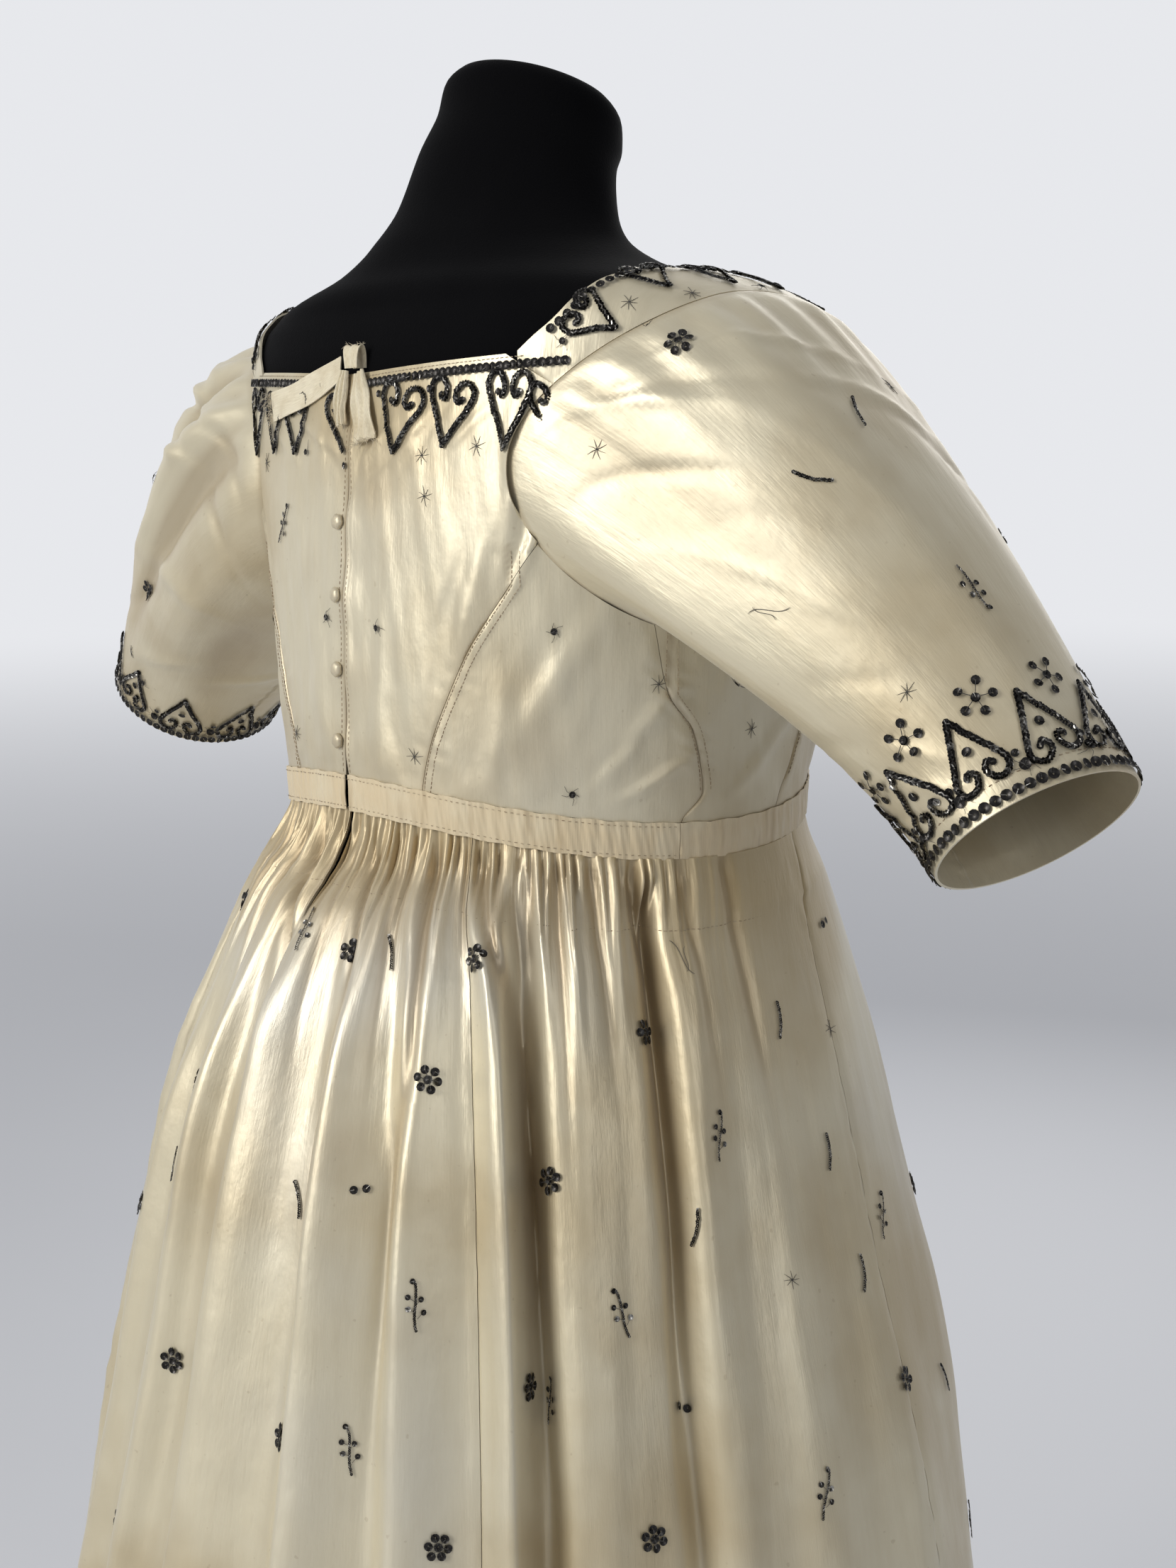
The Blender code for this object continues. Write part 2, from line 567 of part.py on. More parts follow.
def bodice():
    satin = finish("satin")
    panels = {
        "bodice_back": back_panel(),
        "bodice_side_back": side_patch(SIDE_BACK_SEAM, UNDERARM_SEAM, float(armhole_angle(SIDE_BACK_TOP)),
                                       float(armhole_angle(UNDERARM_TOP)), 7),
        "bodice_side_front": side_patch(UNDERARM_SEAM, FRONT_SEAM, float(armhole_angle(UNDERARM_TOP)),
                                        float(armhole_angle(FRONT_SEAM_TOP, True)) - 2 * np.pi, 7),
    }
    for name, grid in panels.items():
        angle, height = grid[..., 0], grid[..., 1]
        outer = torso_point(angle, height)
        inner = torso_point(angle, height, np.full(angle.shape, -BODICE_THICK))
        wall(name + "_right", outer, inner, satin)
        wall(name + "_left", mirrored(outer), mirrored(inner), satin)
    grid = front_panel()
    outer = torso_point(grid[..., 0], grid[..., 1])
    inner = torso_point(grid[..., 0], grid[..., 1], np.full(grid.shape[:2], -BODICE_THICK))
    wall("bodice_front", outer, inner, satin)
    face = strap()
    normal = surface_normals(face)
    if (normal[8, 2, 2]) < 0:
        normal = -normal
    under = face - normal * BODICE_THICK
    wall("shoulder_strap_right", face, under, satin)
    wall("shoulder_strap_left", mirrored(face), mirrored(under), satin)


def waistband():
    band = finish("band")
    side = np.radians(BAND_JOIN)
    gap = SEAM_GAP / 2 / float(torso_radius(side, WAIST_HEIGHT))
    at_opening = opening_gap(WAIST_HEIGHT) / float(torso_radius(0.0, WAIST_HEIGHT))
    levels = np.array((1.0, 0.0, -1.0))
    spans = {
        "waistband_back_right": (at_opening, side - gap, BAND_BACK_COLUMNS),
        "waistband_front": (side + gap, 2 * np.pi - side - gap, BAND_FRONT_COLUMNS),
        "waistband_back_left": (-side + gap, -at_opening, BAND_BACK_COLUMNS),
    }
    for name, (first, last, count) in spans.items():
        angle = np.linspace(first, last, count)[None, :]
        height = WAIST_HEIGHT + band_rise(angle) + levels[:, None] * BAND_HALF_WIDTH
        radius = torso_radius(angle, height) + BAND_OUT + BAND_ROUNDING * (1 - levels[:, None] ** 2)
        wall(name, polar(angle, radius, height), polar(angle, radius - BAND_THICK, height), band)


# The skirt
def cloth_angle(cloth, height):
    """Angle, in degrees, at which a line of the cloth lies: it drifts between the seams."""
    size = np.abs(cloth)
    back_waist, side_waist = SKIRT_BACK_SEAM[-1, 1], SKIRT_SIDE_SEAM[-1, 1]
    near_back = np.where(size < back_waist, size / back_waist,
                         np.clip(1 - (size - back_waist) / (side_waist - back_waist), 0, 1))
    near_side = np.where(size < side_waist,
                         np.clip((size - back_waist) / (side_waist - back_waist), 0, 1),
                         1 - (size - side_waist) / (180.0 - side_waist))
    back_drift = smooth_read(height, SKIRT_BACK_SEAM[:, 0], SKIRT_BACK_SEAM[:, 1]) - back_waist
    side_drift = smooth_read(height, SKIRT_SIDE_SEAM[:, 0], SKIRT_SIDE_SEAM[:, 1]) - side_waist
    return np.sign(cloth) * (size + near_back * back_drift + near_side * side_drift)


def gather_phase(cloth):
    """Counts the gathers along the waist; they're uneven in width."""
    return cloth / GATHER_SPACING + 0.30 * np.sin(0.35 * cloth + 1.0) + 0.14 * np.sin(0.83 * cloth)


def gather_offset(cloth, height):
    reach = 1 - smooth_step(*GATHERS_THIN, np.abs(cloth))
    size = GATHER_DEPTH * (0.72 + 0.28 * np.sin(1.31 * cloth + 0.6)) * reach
    top = WAIST_HEIGHT - BAND_HALF_WIDTH + band_rise(np.radians(cloth))
    below = np.clip(top - height, 0, None)
    growth = 0.45 + 0.55 * smooth_step(0.0, 0.014, below)
    decay = 1 - smooth_step(0.014, GATHER_FADE, below)
    return size * growth * decay * np.cos(2 * np.pi * gather_phase(cloth))


def fold_offset(cloth, height):
    total = np.zeros(np.broadcast(cloth, height).shape)
    for angle, half_before, half_after, depth, starts, full in FOLDS:
        turn = (cloth - angle + 180.0) % 360.0 - 180.0
        half = np.where(turn < 0, half_before, half_after)
        total += depth * np.exp(-(turn / half) ** 2) * smooth_step(starts, full, height)
    return total - FOLD_MEAN * smooth_step(1.08, 0.90, height)


def skirt_radius(cloth, height):
    angle = np.radians(cloth_angle(cloth, height))
    base = oval(angle, *section(SKIRT, height))
    under_band = UNDER_BAND * smooth_step(1.106, 1.118, height)
    return angle, base + fold_offset(cloth, height) + gather_offset(cloth, height) - under_band


def skirt_grid(cloth):
    """Outer and inner points of a skirt panel, for cloth angles across and rows down."""
    cloth = np.asarray(cloth)[None, :]
    top = (WAIST_HEIGHT - BAND_HALF_WIDTH - SEAM_GAP) + band_rise(np.radians(cloth))
    rows = np.array(SKIRT_HEIGHTS)[:, None]
    drop = (top - WAIST_HEIGHT + BAND_HALF_WIDTH + SEAM_GAP) * smooth_step(0.95, 1.10, rows)
    height = np.concatenate([top, rows + drop])
    angle, radius = skirt_radius(np.broadcast_to(cloth, height.shape), height)
    return angle, radius, height


def gather_columns(first, last):
    """Cloth angles at the crests and troughs of the gathers between two seams."""
    dense = np.linspace(first, last, 4001)
    phase = gather_phase(dense)
    halves = np.arange(np.ceil(2 * phase[0]) / 2, phase[-1], 0.5)
    inner = np.interp(halves, phase, dense)
    inner = inner[(inner > first + 0.5) & (inner < last - 0.5)]
    return np.concatenate([[first], inner, [last]])


def skirt_panel(name, cloth, first_gap, last_gap, keep=None, slit_column=None):
    angle, radius, height = skirt_grid(cloth)
    angle[:, 0] += first_gap / radius[:, 0]
    angle[:, -1] -= last_gap / radius[:, -1]
    if slit_column is not None:
        half = opening_gap(height[:, slit_column]) / radius[:, slit_column]
        angle[:, slit_column] -= half
        angle[:, slit_column + 1] += half
    outer = polar(angle, radius, height)
    inner = polar(angle, radius - SKIRT_THICK, height)
    wall(name, outer, inner, finish("satin"), keep)


def skirt():
    back = SKIRT_BACK_SEAM[-1, 1]
    side = SKIRT_SIDE_SEAM[-1, 1]
    half_gap = SEAM_GAP / 2
    left_half = gather_columns(-back, 0.0)
    right_half = gather_columns(0.0, back)
    cloth = np.concatenate([left_half, right_half])
    slit = len(left_half) - 1
    keep = np.ones((len(SKIRT_HEIGHTS), len(cloth) - 1), bool)
    slit_rows = 1 + sum(1 for height in SKIRT_HEIGHTS if height > PLACKET_END)
    keep[:slit_rows, slit] = False
    skirt_panel("skirt_back", cloth, half_gap, half_gap, keep, slit)
    plain_side = np.linspace(GATHER_REACH, side, 7)[1:]
    right = np.concatenate([gather_columns(back, GATHER_REACH), plain_side])
    skirt_panel("skirt_side_right", right, half_gap, half_gap)
    left = np.concatenate([-plain_side[::-1], gather_columns(-GATHER_REACH, -back)])
    skirt_panel("skirt_side_left", left, half_gap, half_gap)
    front = np.linspace(side, 360.0 - side, 25)
    front = np.where(front > 180.0, front - 360.0, front)
    front_panel_of_skirt(front, half_gap)


def front_panel_of_skirt(cloth, half_gap):
    """The front panel crosses the angle's jump at the centre front, so its angles run on."""
    angle, radius, height = skirt_grid(cloth)
    angle = np.unwrap(angle, axis=1)
    angle[:, 0] += half_gap / radius[:, 0]
    angle[:, -1] -= half_gap / radius[:, -1]
    wall("skirt_front", polar(angle, radius, height), polar(angle, radius - SKIRT_THICK, height),
         finish("satin"))


# The sleeves
def sleeve_surface(side, place, along):
    """Points of a sleeve for places round the armhole, in radians, and along it, 0 to 1."""
    size = dict(zip(SLEEVE_COLUMNS, SLEEVES[side]))
    start = armhole(place)
    fall = -np.sqrt(1 - size["lean_out"] ** 2 - size["lean_back"] ** 2)
    lean = np.array((-size["lean_out"], size["lean_back"], fall))
    toward_back = np.array((0.0, 1.0, 0.0)) - lean * lean[1]
    toward_back /= np.linalg.norm(toward_back)
    toward_top = np.cross(toward_back, lean)
    toward_top = toward_top * np.sign(toward_top[2])
    c, s = np.cos(place)[..., None], np.sin(place)[..., None]
    centre = np.array((-size["out"], size["back"], size["height"]))
    cuff = centre + size["cuff_radius"] * (c * toward_back * size["cuff_ratio"] + s * toward_top)
    leave = (size["leave"] + size["leave_top"] * s + size["leave_back"] * c) * np.array(
        (-1.0, 0.0, size["lift"]))
    zero = np.zeros_like(c)
    leave = leave + size["puff"] * np.concatenate([zero, c, s], -1)
    arrive = lean * (size["arrive"] + size["arrive_top"] * s)
    v = along[..., None]
    return ((2 * v**3 - 3 * v**2 + 1) * start + (v**3 - 2 * v**2 + v) * leave
            + (3 * v**2 - 2 * v**3) * cuff + (v**3 - v**2) * arrive)


def sleeve_relief(side, place, along):
    """Gathers at the sleeve head and the larger folds, as heights over the smooth sleeve."""
    degrees = np.degrees(place) % 360.0
    head = smooth_step(2.0, 30.0, degrees) * (1 - smooth_step(150.0, 178.0, degrees))
    wave = np.cos(np.radians(degrees) * 2 * SLEEVE_GATHERS)
    fade = smooth_step(0.0, 0.06, along) * (1 - smooth_step(0.06, 0.34, along))
    total = SLEEVE_GATHER_DEPTH[side] * head * wave * fade
    for round_, half_round, along_, half_along, depth in SLEEVE_FOLDS[side]:
        turn = (degrees - round_ + 180.0) % 360.0 - 180.0
        ends = smooth_step(0.02, 0.14, along) * (1 - smooth_step(0.80, 0.97, along))
        bump = np.exp(-(turn / half_round) ** 2 - ((along - along_) / half_along) ** 2)
        total = total + depth * ends * bump
    return total


def sleeve(side):
    gather = np.pi / (2 * SLEEVE_GATHERS)
    head = np.arange(1, 2 * SLEEVE_GATHERS) * gather
    rest = np.linspace(np.pi, 2 * np.pi, 13)
    place = np.concatenate([[0.0], head[head < np.pi - 0.01], rest[:-1]])
    along = np.array((0.0, 0.06, 0.15, 0.28, 0.43, 0.60, 0.78, 0.92, 1.0))
    places, alongs = np.meshgrid(place, along)
    smooth = sleeve_surface(side, places, alongs)
    normal = surface_normals(smooth, True)
    middle = smooth.mean(axis=1, keepdims=True)
    if np.sum(normal * (smooth - middle)) < 0:
        normal = -normal
    outer = smooth + normal * sleeve_relief(side, places, alongs)[..., None]
    inner = outer - normal * SLEEVE_THICK
    lift = np.array((-2 * SEAM_GAP, 0.0, 0.0))
    tighter = 1 - SLEEVE_THICK / ARMHOLE_HALF_HEIGHT
    outer[0] = armhole(place, SLEEVE_ARMHOLE_SCALE) + lift
    inner[0] = armhole(place, SLEEVE_ARMHOLE_SCALE * tighter) + lift
    if side == "left":
        outer, inner = mirrored(outer), mirrored(inner)
    wall("sleeve_" + side, outer, inner, finish("satin"), closed=True)


# Buttons and the tie at the neck
def buttons():
    count = BUTTON_SIDES
    turns = np.arange(count) * 2 * np.pi / count
    for number, height in enumerate(BUTTON_HEIGHTS, 1):
        angle = -BUTTON_OFFSET / float(torso_radius(0.0, height))
        centre = torso_point(np.array(angle), np.array(height))
        outward = torso_point(np.array(angle), np.array(height), np.array(1.0)) - centre
        upward = np.array((0.0, 0.0, 1.0)) - outward * outward[2]
        upward /= np.linalg.norm(upward)
        sideways = np.cross(outward, upward)
        rings = []
        for scale, rise in BUTTON_PROFILE:
            ring = (centre + outward * (SEAM_GAP + BUTTON_RISE * rise)
                    + BUTTON_RADIUS * scale * (np.cos(turns)[:, None] * sideways
                                               + np.sin(turns)[:, None] * upward))
            rings.append(ring)
        points = np.concatenate(rings + [[centre + outward * (SEAM_GAP + BUTTON_RISE)]])
        faces = [tuple(range(count))]
        for i in range(len(rings) - 1):
            for j in range(count):
                k = (j + 1) % count
                faces.append((i * count + k, i * count + j, (i + 1) * count + j, (i + 1) * count + k))
        top = (len(rings) - 1) * count
        for j in range(count):
            faces.append((top + (j + 1) % count, top + j, len(points) - 1))
        solid(f"button_{number}", points, faces, finish("satin"), 70.0)


def strip(name, path, widths, thickness, rows=9):
    """A tape that lies on the bodice along a path of angle and height, moved out from it."""
    path = np.array(path)
    places = np.linspace(0, 1, rows)
    knots = np.linspace(0, 1, len(path))
    angle = smooth_read(places, knots, np.radians(path[:, 0]))
    height = smooth_read(places, knots, path[:, 1])
    width = smooth_read(places, np.linspace(0, 1, len(widths)), np.array(widths))
    along_z = np.gradient(height)
    along_x = np.gradient(angle) * NECKLINE_RADIUS
    length = np.hypot(along_z, along_x)
    across = np.linspace(-0.5, 0.5, 4)[None, :]
    grid_angle = angle[:, None] + across * (width * -along_z / length)[:, None] / NECKLINE_RADIUS
    grid_height = height[:, None] + across * (width * along_x / length)[:, None]
    close = np.full(grid_angle.shape, TAPE_CLEARANCE)
    inner = torso_point(grid_angle, grid_height, close)
    outer = torso_point(grid_angle, grid_height, close + thickness)
    wall(name, outer, inner, finish("tape"))


def tie():
    strip("tie_tape", ((-34.0, 1.3165), (-21.0, 1.3215), (-4.9, 1.3325)),
          (TAPE_WIDTH, TAPE_WIDTH, TAPE_WIDTH * 0.8), TAPE_THICK)
    strip("tie_end_left", ((-2.2, 1.3300), (-3.2, 1.3170), (-1.8, 1.3080)),
          (0.0050, 0.0055, 0.0055), TAPE_THICK, 7)
    strip("tie_end_right", ((3.4, 1.3280), (5.2, 1.3140), (7.6, 1.2995)),
          (0.0075, 0.0105, 0.0130), TAPE_THICK * 1.6, 8)
    angle, height, out = KNOT_PLACE
    across, deep, high = KNOT_RADII
    centre = torso_point(np.array(angle), np.array(height), np.array(out))
    turns = np.radians(np.arange(0.0, 360.0, 36.0))
    rings = []
    for rise in np.radians((-80.0, -50.0, -18.0, 18.0, 50.0, 80.0)):
        ring = np.stack([across * np.cos(rise) * np.cos(turns), deep * np.cos(rise) * np.sin(turns),
                         np.full(turns.shape, high * np.sin(rise))], -1)
        rings.append(centre + ring[::-1])
    closed_rings("tie_knot", rings, "tape")


def main():
    for thing in list(bpy.data.objects):
        bpy.data.objects.remove(thing, do_unlink=True)
    dress_form()
    form_stand()
    bodice()
    waistband()
    skirt()
    sleeve("right")
    sleeve("left")
    buttons()
    tie()


main()
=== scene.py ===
"""Regency gown of ivory silk satin on a black velvet dress form: its finished look.

The wearer faces -Y with the right side at -X, and the origin is on the floor under the form.
Angles round the body are 0 at the centre back, 90 at the wearer's right side and 180 in front.
The cloth follows the same shape functions as the solids, with finer folds, seams and creases.
"""

import bpy
import numpy as np
from bpy.props import FloatProperty, FloatVectorProperty, IntProperty, PointerProperty
from mathutils import Matrix, Vector


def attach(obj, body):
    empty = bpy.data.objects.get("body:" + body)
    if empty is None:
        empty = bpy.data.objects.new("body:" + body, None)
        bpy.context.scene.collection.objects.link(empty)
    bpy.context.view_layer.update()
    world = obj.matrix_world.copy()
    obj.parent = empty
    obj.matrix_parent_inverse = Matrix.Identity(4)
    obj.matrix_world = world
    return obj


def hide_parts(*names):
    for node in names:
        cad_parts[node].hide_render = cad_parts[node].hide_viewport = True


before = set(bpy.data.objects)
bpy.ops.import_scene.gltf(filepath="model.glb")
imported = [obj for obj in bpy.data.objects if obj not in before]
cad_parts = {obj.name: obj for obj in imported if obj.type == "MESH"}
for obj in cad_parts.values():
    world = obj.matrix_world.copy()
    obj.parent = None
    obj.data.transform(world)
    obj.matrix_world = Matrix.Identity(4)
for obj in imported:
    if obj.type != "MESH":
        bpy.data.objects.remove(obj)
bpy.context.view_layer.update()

bl_info = {
    "name": "Regency Gown",
    "version": (1, 0, 0),
    "blender": (4, 5, 0),
    "location": "View3D > Sidebar > Gown",
    "description": "Builds a satin gown with metal embroidery on a velvet dress form",
    "category": "Object",
}

# Sizes shared with the solids, in metres
SEAM_GAP = 0.0003
BAND_SEAM_GAP = 0.00042
FORM_CLEARANCE = 0.0022
FORM_FRONT_CLEARANCE = 0.005
FORM_WAIST_ROOM = 0.0045
WAIST_HEIGHT = 1.125
WAIST_RISE = 0.0096
BAND_HALF_WIDTH = 0.0078
BAND_OUT = 0.0008
BAND_ROUNDING = 0.0003
BAND_LAP = 0.0008
BAND_JOIN = 75.0
OPENING_HEIGHTS = np.array((1.03, 1.08, 1.108, 1.133, 1.165, 1.34))
OPENING_HALF_GAPS = np.array((0.0003, 0.0004, 0.0016, 0.0016, 0.00025, 0.00015))
PLACKET_END = 1.078
GATHER_SPACING = 2.45
GATHERS_THIN = (68.0, 86.0)
GATHER_DEPTH = 0.0024
GATHER_FADE = 0.085
UNDER_BAND = 0.0018
FORM_BOTTOM = 0.88
NECK_CAP_SLOPE = 0.3
POLE_RADIUS = 0.016
BASE_RADIUS = 0.165
BASE_HEIGHT = 0.018
BASE_EDGE = 0.004
BUTTON_RADIUS = 0.0036
BUTTON_RISE = 0.0028
BUTTON_HEIGHTS = (1.262, 1.228, 1.193, 1.159)
BUTTON_OFFSET = 0.0055
TAPE_WIDTH = 0.0145
TAPE_CLEARANCE = 0.0006
NECKLINE_RADIUS = 0.115
TRUNK_RADIUS = 0.135

# Sections: height, half_width, back, front, squareness and, for the torso, shift_back
SECTION_COLUMNS = ("height", "half_width", "back", "front", "squareness")
TORSO = np.array((
    (1.095, 0.1375, 0.1225, 0.1235, 2.1, 0.0),
    (1.125, 0.139, 0.124, 0.125, 2.1, 0.0),
    (1.16, 0.1405, 0.1245, 0.138, 2.15, 0.0),
    (1.2, 0.1435, 0.1235, 0.149, 2.25, 0.0),
    (1.24, 0.1475, 0.1215, 0.147, 2.4, 0.0),
    (1.28, 0.1555, 0.1185, 0.134, 2.5, 0.0),
    (1.31, 0.165, 0.115, 0.117, 2.5, 0.0),
    (1.33, 0.17, 0.112, 0.104, 2.5, 0.0),
    (1.345, 0.1705, 0.1085, 0.094, 2.5, 0.0),
    (1.355, 0.166, 0.101, 0.082, 2.5, 0.004),
    (1.363, 0.153, 0.092, 0.076, 2.5, 0.01),
    (1.37, 0.136, 0.084, 0.07, 2.4, 0.017),
    (1.376, 0.115, 0.075, 0.064, 2.3, 0.022),
    (1.384, 0.093, 0.067, 0.057, 2.2, 0.022),
    (1.395, 0.0745, 0.0615, 0.052, 2.1, 0.021),
    (1.412, 0.062, 0.056, 0.048, 2.0, 0.015),
    (1.43, 0.0535, 0.0525, 0.047, 2.0, 0.008),
    (1.446, 0.049, 0.049, 0.0455, 2.0, 0.0),
    (1.458, 0.047, 0.0475, 0.0445, 2.0, -0.002),
    (1.466, 0.041, 0.042, 0.039, 2.0, -0.003),
    (1.469, 0.03, 0.031, 0.029, 2.0, -0.003),
))
HIPS = np.array((
    (FORM_BOTTOM, 0.125, 0.095, 0.09, 2.1),
    (0.96, 0.138, 0.108, 0.1, 2.1),
    (1.03, 0.135, 0.112, 0.105, 2.1),
))
SKIRT = np.array((
    (0.03, 0.338, 0.35, 0.2, 2.0),
    (0.22, 0.321, 0.329, 0.194, 2.0),
    (0.45, 0.297, 0.3, 0.186, 2.0),
    (0.7, 0.257, 0.253, 0.174, 2.0),
    (0.845, 0.23, 0.22, 0.179, 2.0),
    (0.952, 0.198, 0.196, 0.164, 2.05),
    (1.024, 0.173, 0.171, 0.147, 2.1),
    (1.08, 0.151, 0.148, 0.134, 2.1),
    (1.11, 0.1395, 0.1268, 0.125, 2.1),
    (1.125, 0.139, 0.124, 0.125, 2.1),
))
FOLD_MEAN = 0.004
FOLD_STRENGTH = 1.3
FOLD_EARLY = 0.045
FOLDS_SHARP = (-16.0, 110.0)

# Seams, as the angle at each height
SIDE_BACK_SEAM = np.array(((1.1, 21.6), (1.13, 22.2), (1.144, 22.9), (1.196, 32.0), (1.235, 43.0)))
UNDERARM_SEAM = np.array(((1.1, 74.0), (1.125, 75.4), (1.139, 80.1), (1.166, 77.7), (1.185, 72.0)))
FRONT_SEAM = np.array(((1.1, 100.0), (1.123, 101.2), (1.145, 106.5), (1.19, 114.0)))
SKIRT_BACK_SEAM = np.array(((0.03, 45.0), (0.45, 43.0), (0.83, 40.6), (0.945, 39.4),
                            (1.002, 38.4), (1.062, 36.6), (1.105, 34.0), (1.128, 34.0)))
SKIRT_SIDE_SEAM = np.array(((0.03, 92.0), (0.45, 94.0), (0.867, 95.4), (0.989, 98.0),
                            (1.044, 100.7), (1.072, 103.0), (1.105, 109.0), (1.128, 109.0)))

# Large folds of the skirt: angle, half_before, half_after, depth, starts, full
FOLDS = np.array((
    (-163.0, 11.0, 11.0, 0.004, 1.06, 0.6),
    (-139.0, 10.0, 10.0, 0.006, 1.07, 0.6),
    (-118.0, 9.0, 9.0, 0.008, 1.08, 0.7),
    (-99.0, 8.0, 6.0, 0.009, 1.09, 0.75),
    (-82.0, 8.0, 4.0, 0.011, 1.095, 0.85),
    (-66.0, 7.5, 3.5, 0.012, 1.1, 0.9),
    (-50.0, 6.5, 3.0, 0.013, 1.1, 0.9),
    (-36.0, 6.0, 2.6, 0.014, 1.1, 0.95),
    (-23.0, 5.5, 2.4, 0.012, 1.1, 0.95),
    (-10.5, 4.5, 2.2, 0.01, 1.1, 0.95),
    (1.0, 2.0, 6.0, 0.013, 1.105, 0.98),
    (14.8, 2.0, 5.5, 0.013, 1.105, 0.98),
    (26.0, 2.0, 5.0, 0.012, 1.105, 1.0),
    (39.3, 4.5, 1.8, 0.012, 1.11, 1.03),
    (43.2, 1.6, 2.6, -0.007, 1.11, 1.03),
    (52.0, 6.0, 6.0, 0.005, 1.1, 1.0),
    (67.8, 2.6, 2.0, -0.007, 1.105, 1.04),
    (73.0, 3.0, 5.0, 0.005, 1.1, 1.0),
    (88.0, 6.0, 6.0, 0.006, 1.06, 0.75),
    (106.0, 7.0, 7.0, 0.008, 1.05, 0.7),
    (128.0, 10.0, 10.0, 0.006, 1.05, 0.6),
    (152.0, 11.0, 11.0, 0.004, 1.05, 0.6),
    (176.0, 9.0, 9.0, 0.005, 1.05, 0.6),
))

# Narrow valleys between the folds: angle of the cloth at four heights, half_width, depth, end
TROUGH_HEIGHTS = np.array((1.1, 1.05, 0.97, 0.85))
TROUGHS = (
    (-10.0, -3.0, -1.0, -2.8, 1.4, 0.005, 0.9), (10.7, 14.0, 13.2, 13.0, 1.2, 0.0055, 0.88),
    (26.0, 26.6, 24.1, 22.6, 1.2, 0.005, 0.86), (36.6, 41.0, 43.0, 45.0, 1.4, 0.0075, 0.8),
    (64.9, 68.3, 68.5, 65.0, 1.5, 0.006, 0.86), (51.0, 50.5, 50.0, 50.0, 1.0, 0.003, 1.0),
    (57.5, 58.5, 59.0, 59.0, 1.1, 0.003, 1.02), (75.0, 77.5, 79.0, 80.0, 1.3, 0.0032, 1.0),
    (18.5, 19.5, 20.0, 20.0, 0.9, 0.0028, 1.01), (4.5, 6.0, 7.0, 7.0, 0.9, 0.0028, 1.02),
    (85.0, 88.0, 90.0, 92.0, 1.6, 0.0025, 0.98), (-17.0, -16.0, -16.0, -17.0, 1.3, 0.004, 0.9),
    (-28.0, -27.5, -28.0, -29.0, 1.3, 0.004, 0.88), (-41.0, -42.0, -43.0, -44.0, 1.4, 0.0045, 0.86),
    (-56.0, -57.0, -58.0, -59.0, 1.5, 0.0045, 0.88), (-72.0, -74.0, -75.0, -76.0, 1.5, 0.004, 0.9),
)

# Armhole
ARMHOLE_Y, ARMHOLE_Z = 0.008, 1.285
ARMHOLE_HALF_DEPTH, ARMHOLE_HALF_HEIGHT = 0.094, 0.0755
ARMHOLE_SQUARENESS = 2.15
PANEL_ARMHOLE_SCALE = 1.004
SLEEVE_ARMHOLE_SCALE = 0.999
ARMHOLE_TUCK_AIM = (-0.09, 0.004, 1.255)
SIDE_BACK_TOP = 1.2535
UNDERARM_TOP = 1.217
FRONT_SEAM_TOP = 1.235
STRAP_BACK_HEIGHT = 1.321
STRAP_FRONT_HEIGHT = 1.275
STRAP_FRONT_Y = -0.12
STRAP_END_TURN = 0.004
STRAP_TUCK = 0.045
BACK_NECKLINE = (1.3295, 1.3345)
NECK_CORNER = 0.84
STRAP_NECK_EDGE = np.array(((27.0, 0.099), (37.0, 0.115), (44.0, 0.121), (55.0, 0.127),
                            (80.0, 0.131), (110.0, 0.129), (140.0, 0.116), (165.0, 0.102), (184.0, 0.098)))

# Sleeves
SLEEVE_COLUMNS = ("out", "back", "height", "lean_out", "lean_back", "cuff_radius", "cuff_ratio",
                  "leave", "leave_top", "leave_back", "puff", "arrive", "arrive_top", "lift")
SLEEVES = {
    "right": (0.303, 0.002, 1.139, 0.649, 0.117, 0.044, 1.037,
              0.1217, 0.0474, -0.0024, -0.02, 0.1238, 0.0029, -0.312),
    "left": (0.31, 0.0186, 1.15, 0.578, -0.086, 0.0488, 1.018,
             0.19, 0.09, 0.02, 0.06, 0.1055, -0.0112, -0.206),
}
SLEEVE_GATHER_DEPTH = {"right": 0.0009, "left": 0.0018}
SLEEVE_GATHERS = 14
SLEEVE_SEAM = 268.0
# round, half_round, along, half_along, depth
SLEEVE_FOLDS = {
    "right": ((20.0, 14.0, 0.3, 0.2, -0.003), (62.0, 12.0, 0.25, 0.18, 0.003),
              (112.0, 14.0, 0.3, 0.2, -0.003), (300.0, 16.0, 0.45, 0.22, -0.004),
              (340.0, 14.0, 0.4, 0.25, 0.003)),
    "left": ((12.0, 8.0, 0.32, 0.26, -0.011), (28.0, 7.0, 0.26, 0.24, 0.007),
             (44.0, 6.0, 0.26, 0.24, -0.008), (58.0, 7.0, 0.24, 0.22, 0.0055),
             (74.0, 7.0, 0.28, 0.24, -0.006), (92.0, 11.0, 0.25, 0.2, 0.0045),
             (120.0, 10.0, 0.28, 0.22, -0.005), (335.0, 12.0, 0.4, 0.25, 0.005),
             (300.0, 14.0, 0.45, 0.22, -0.005)),
}

DEEPEST_CREASE = 0.0011

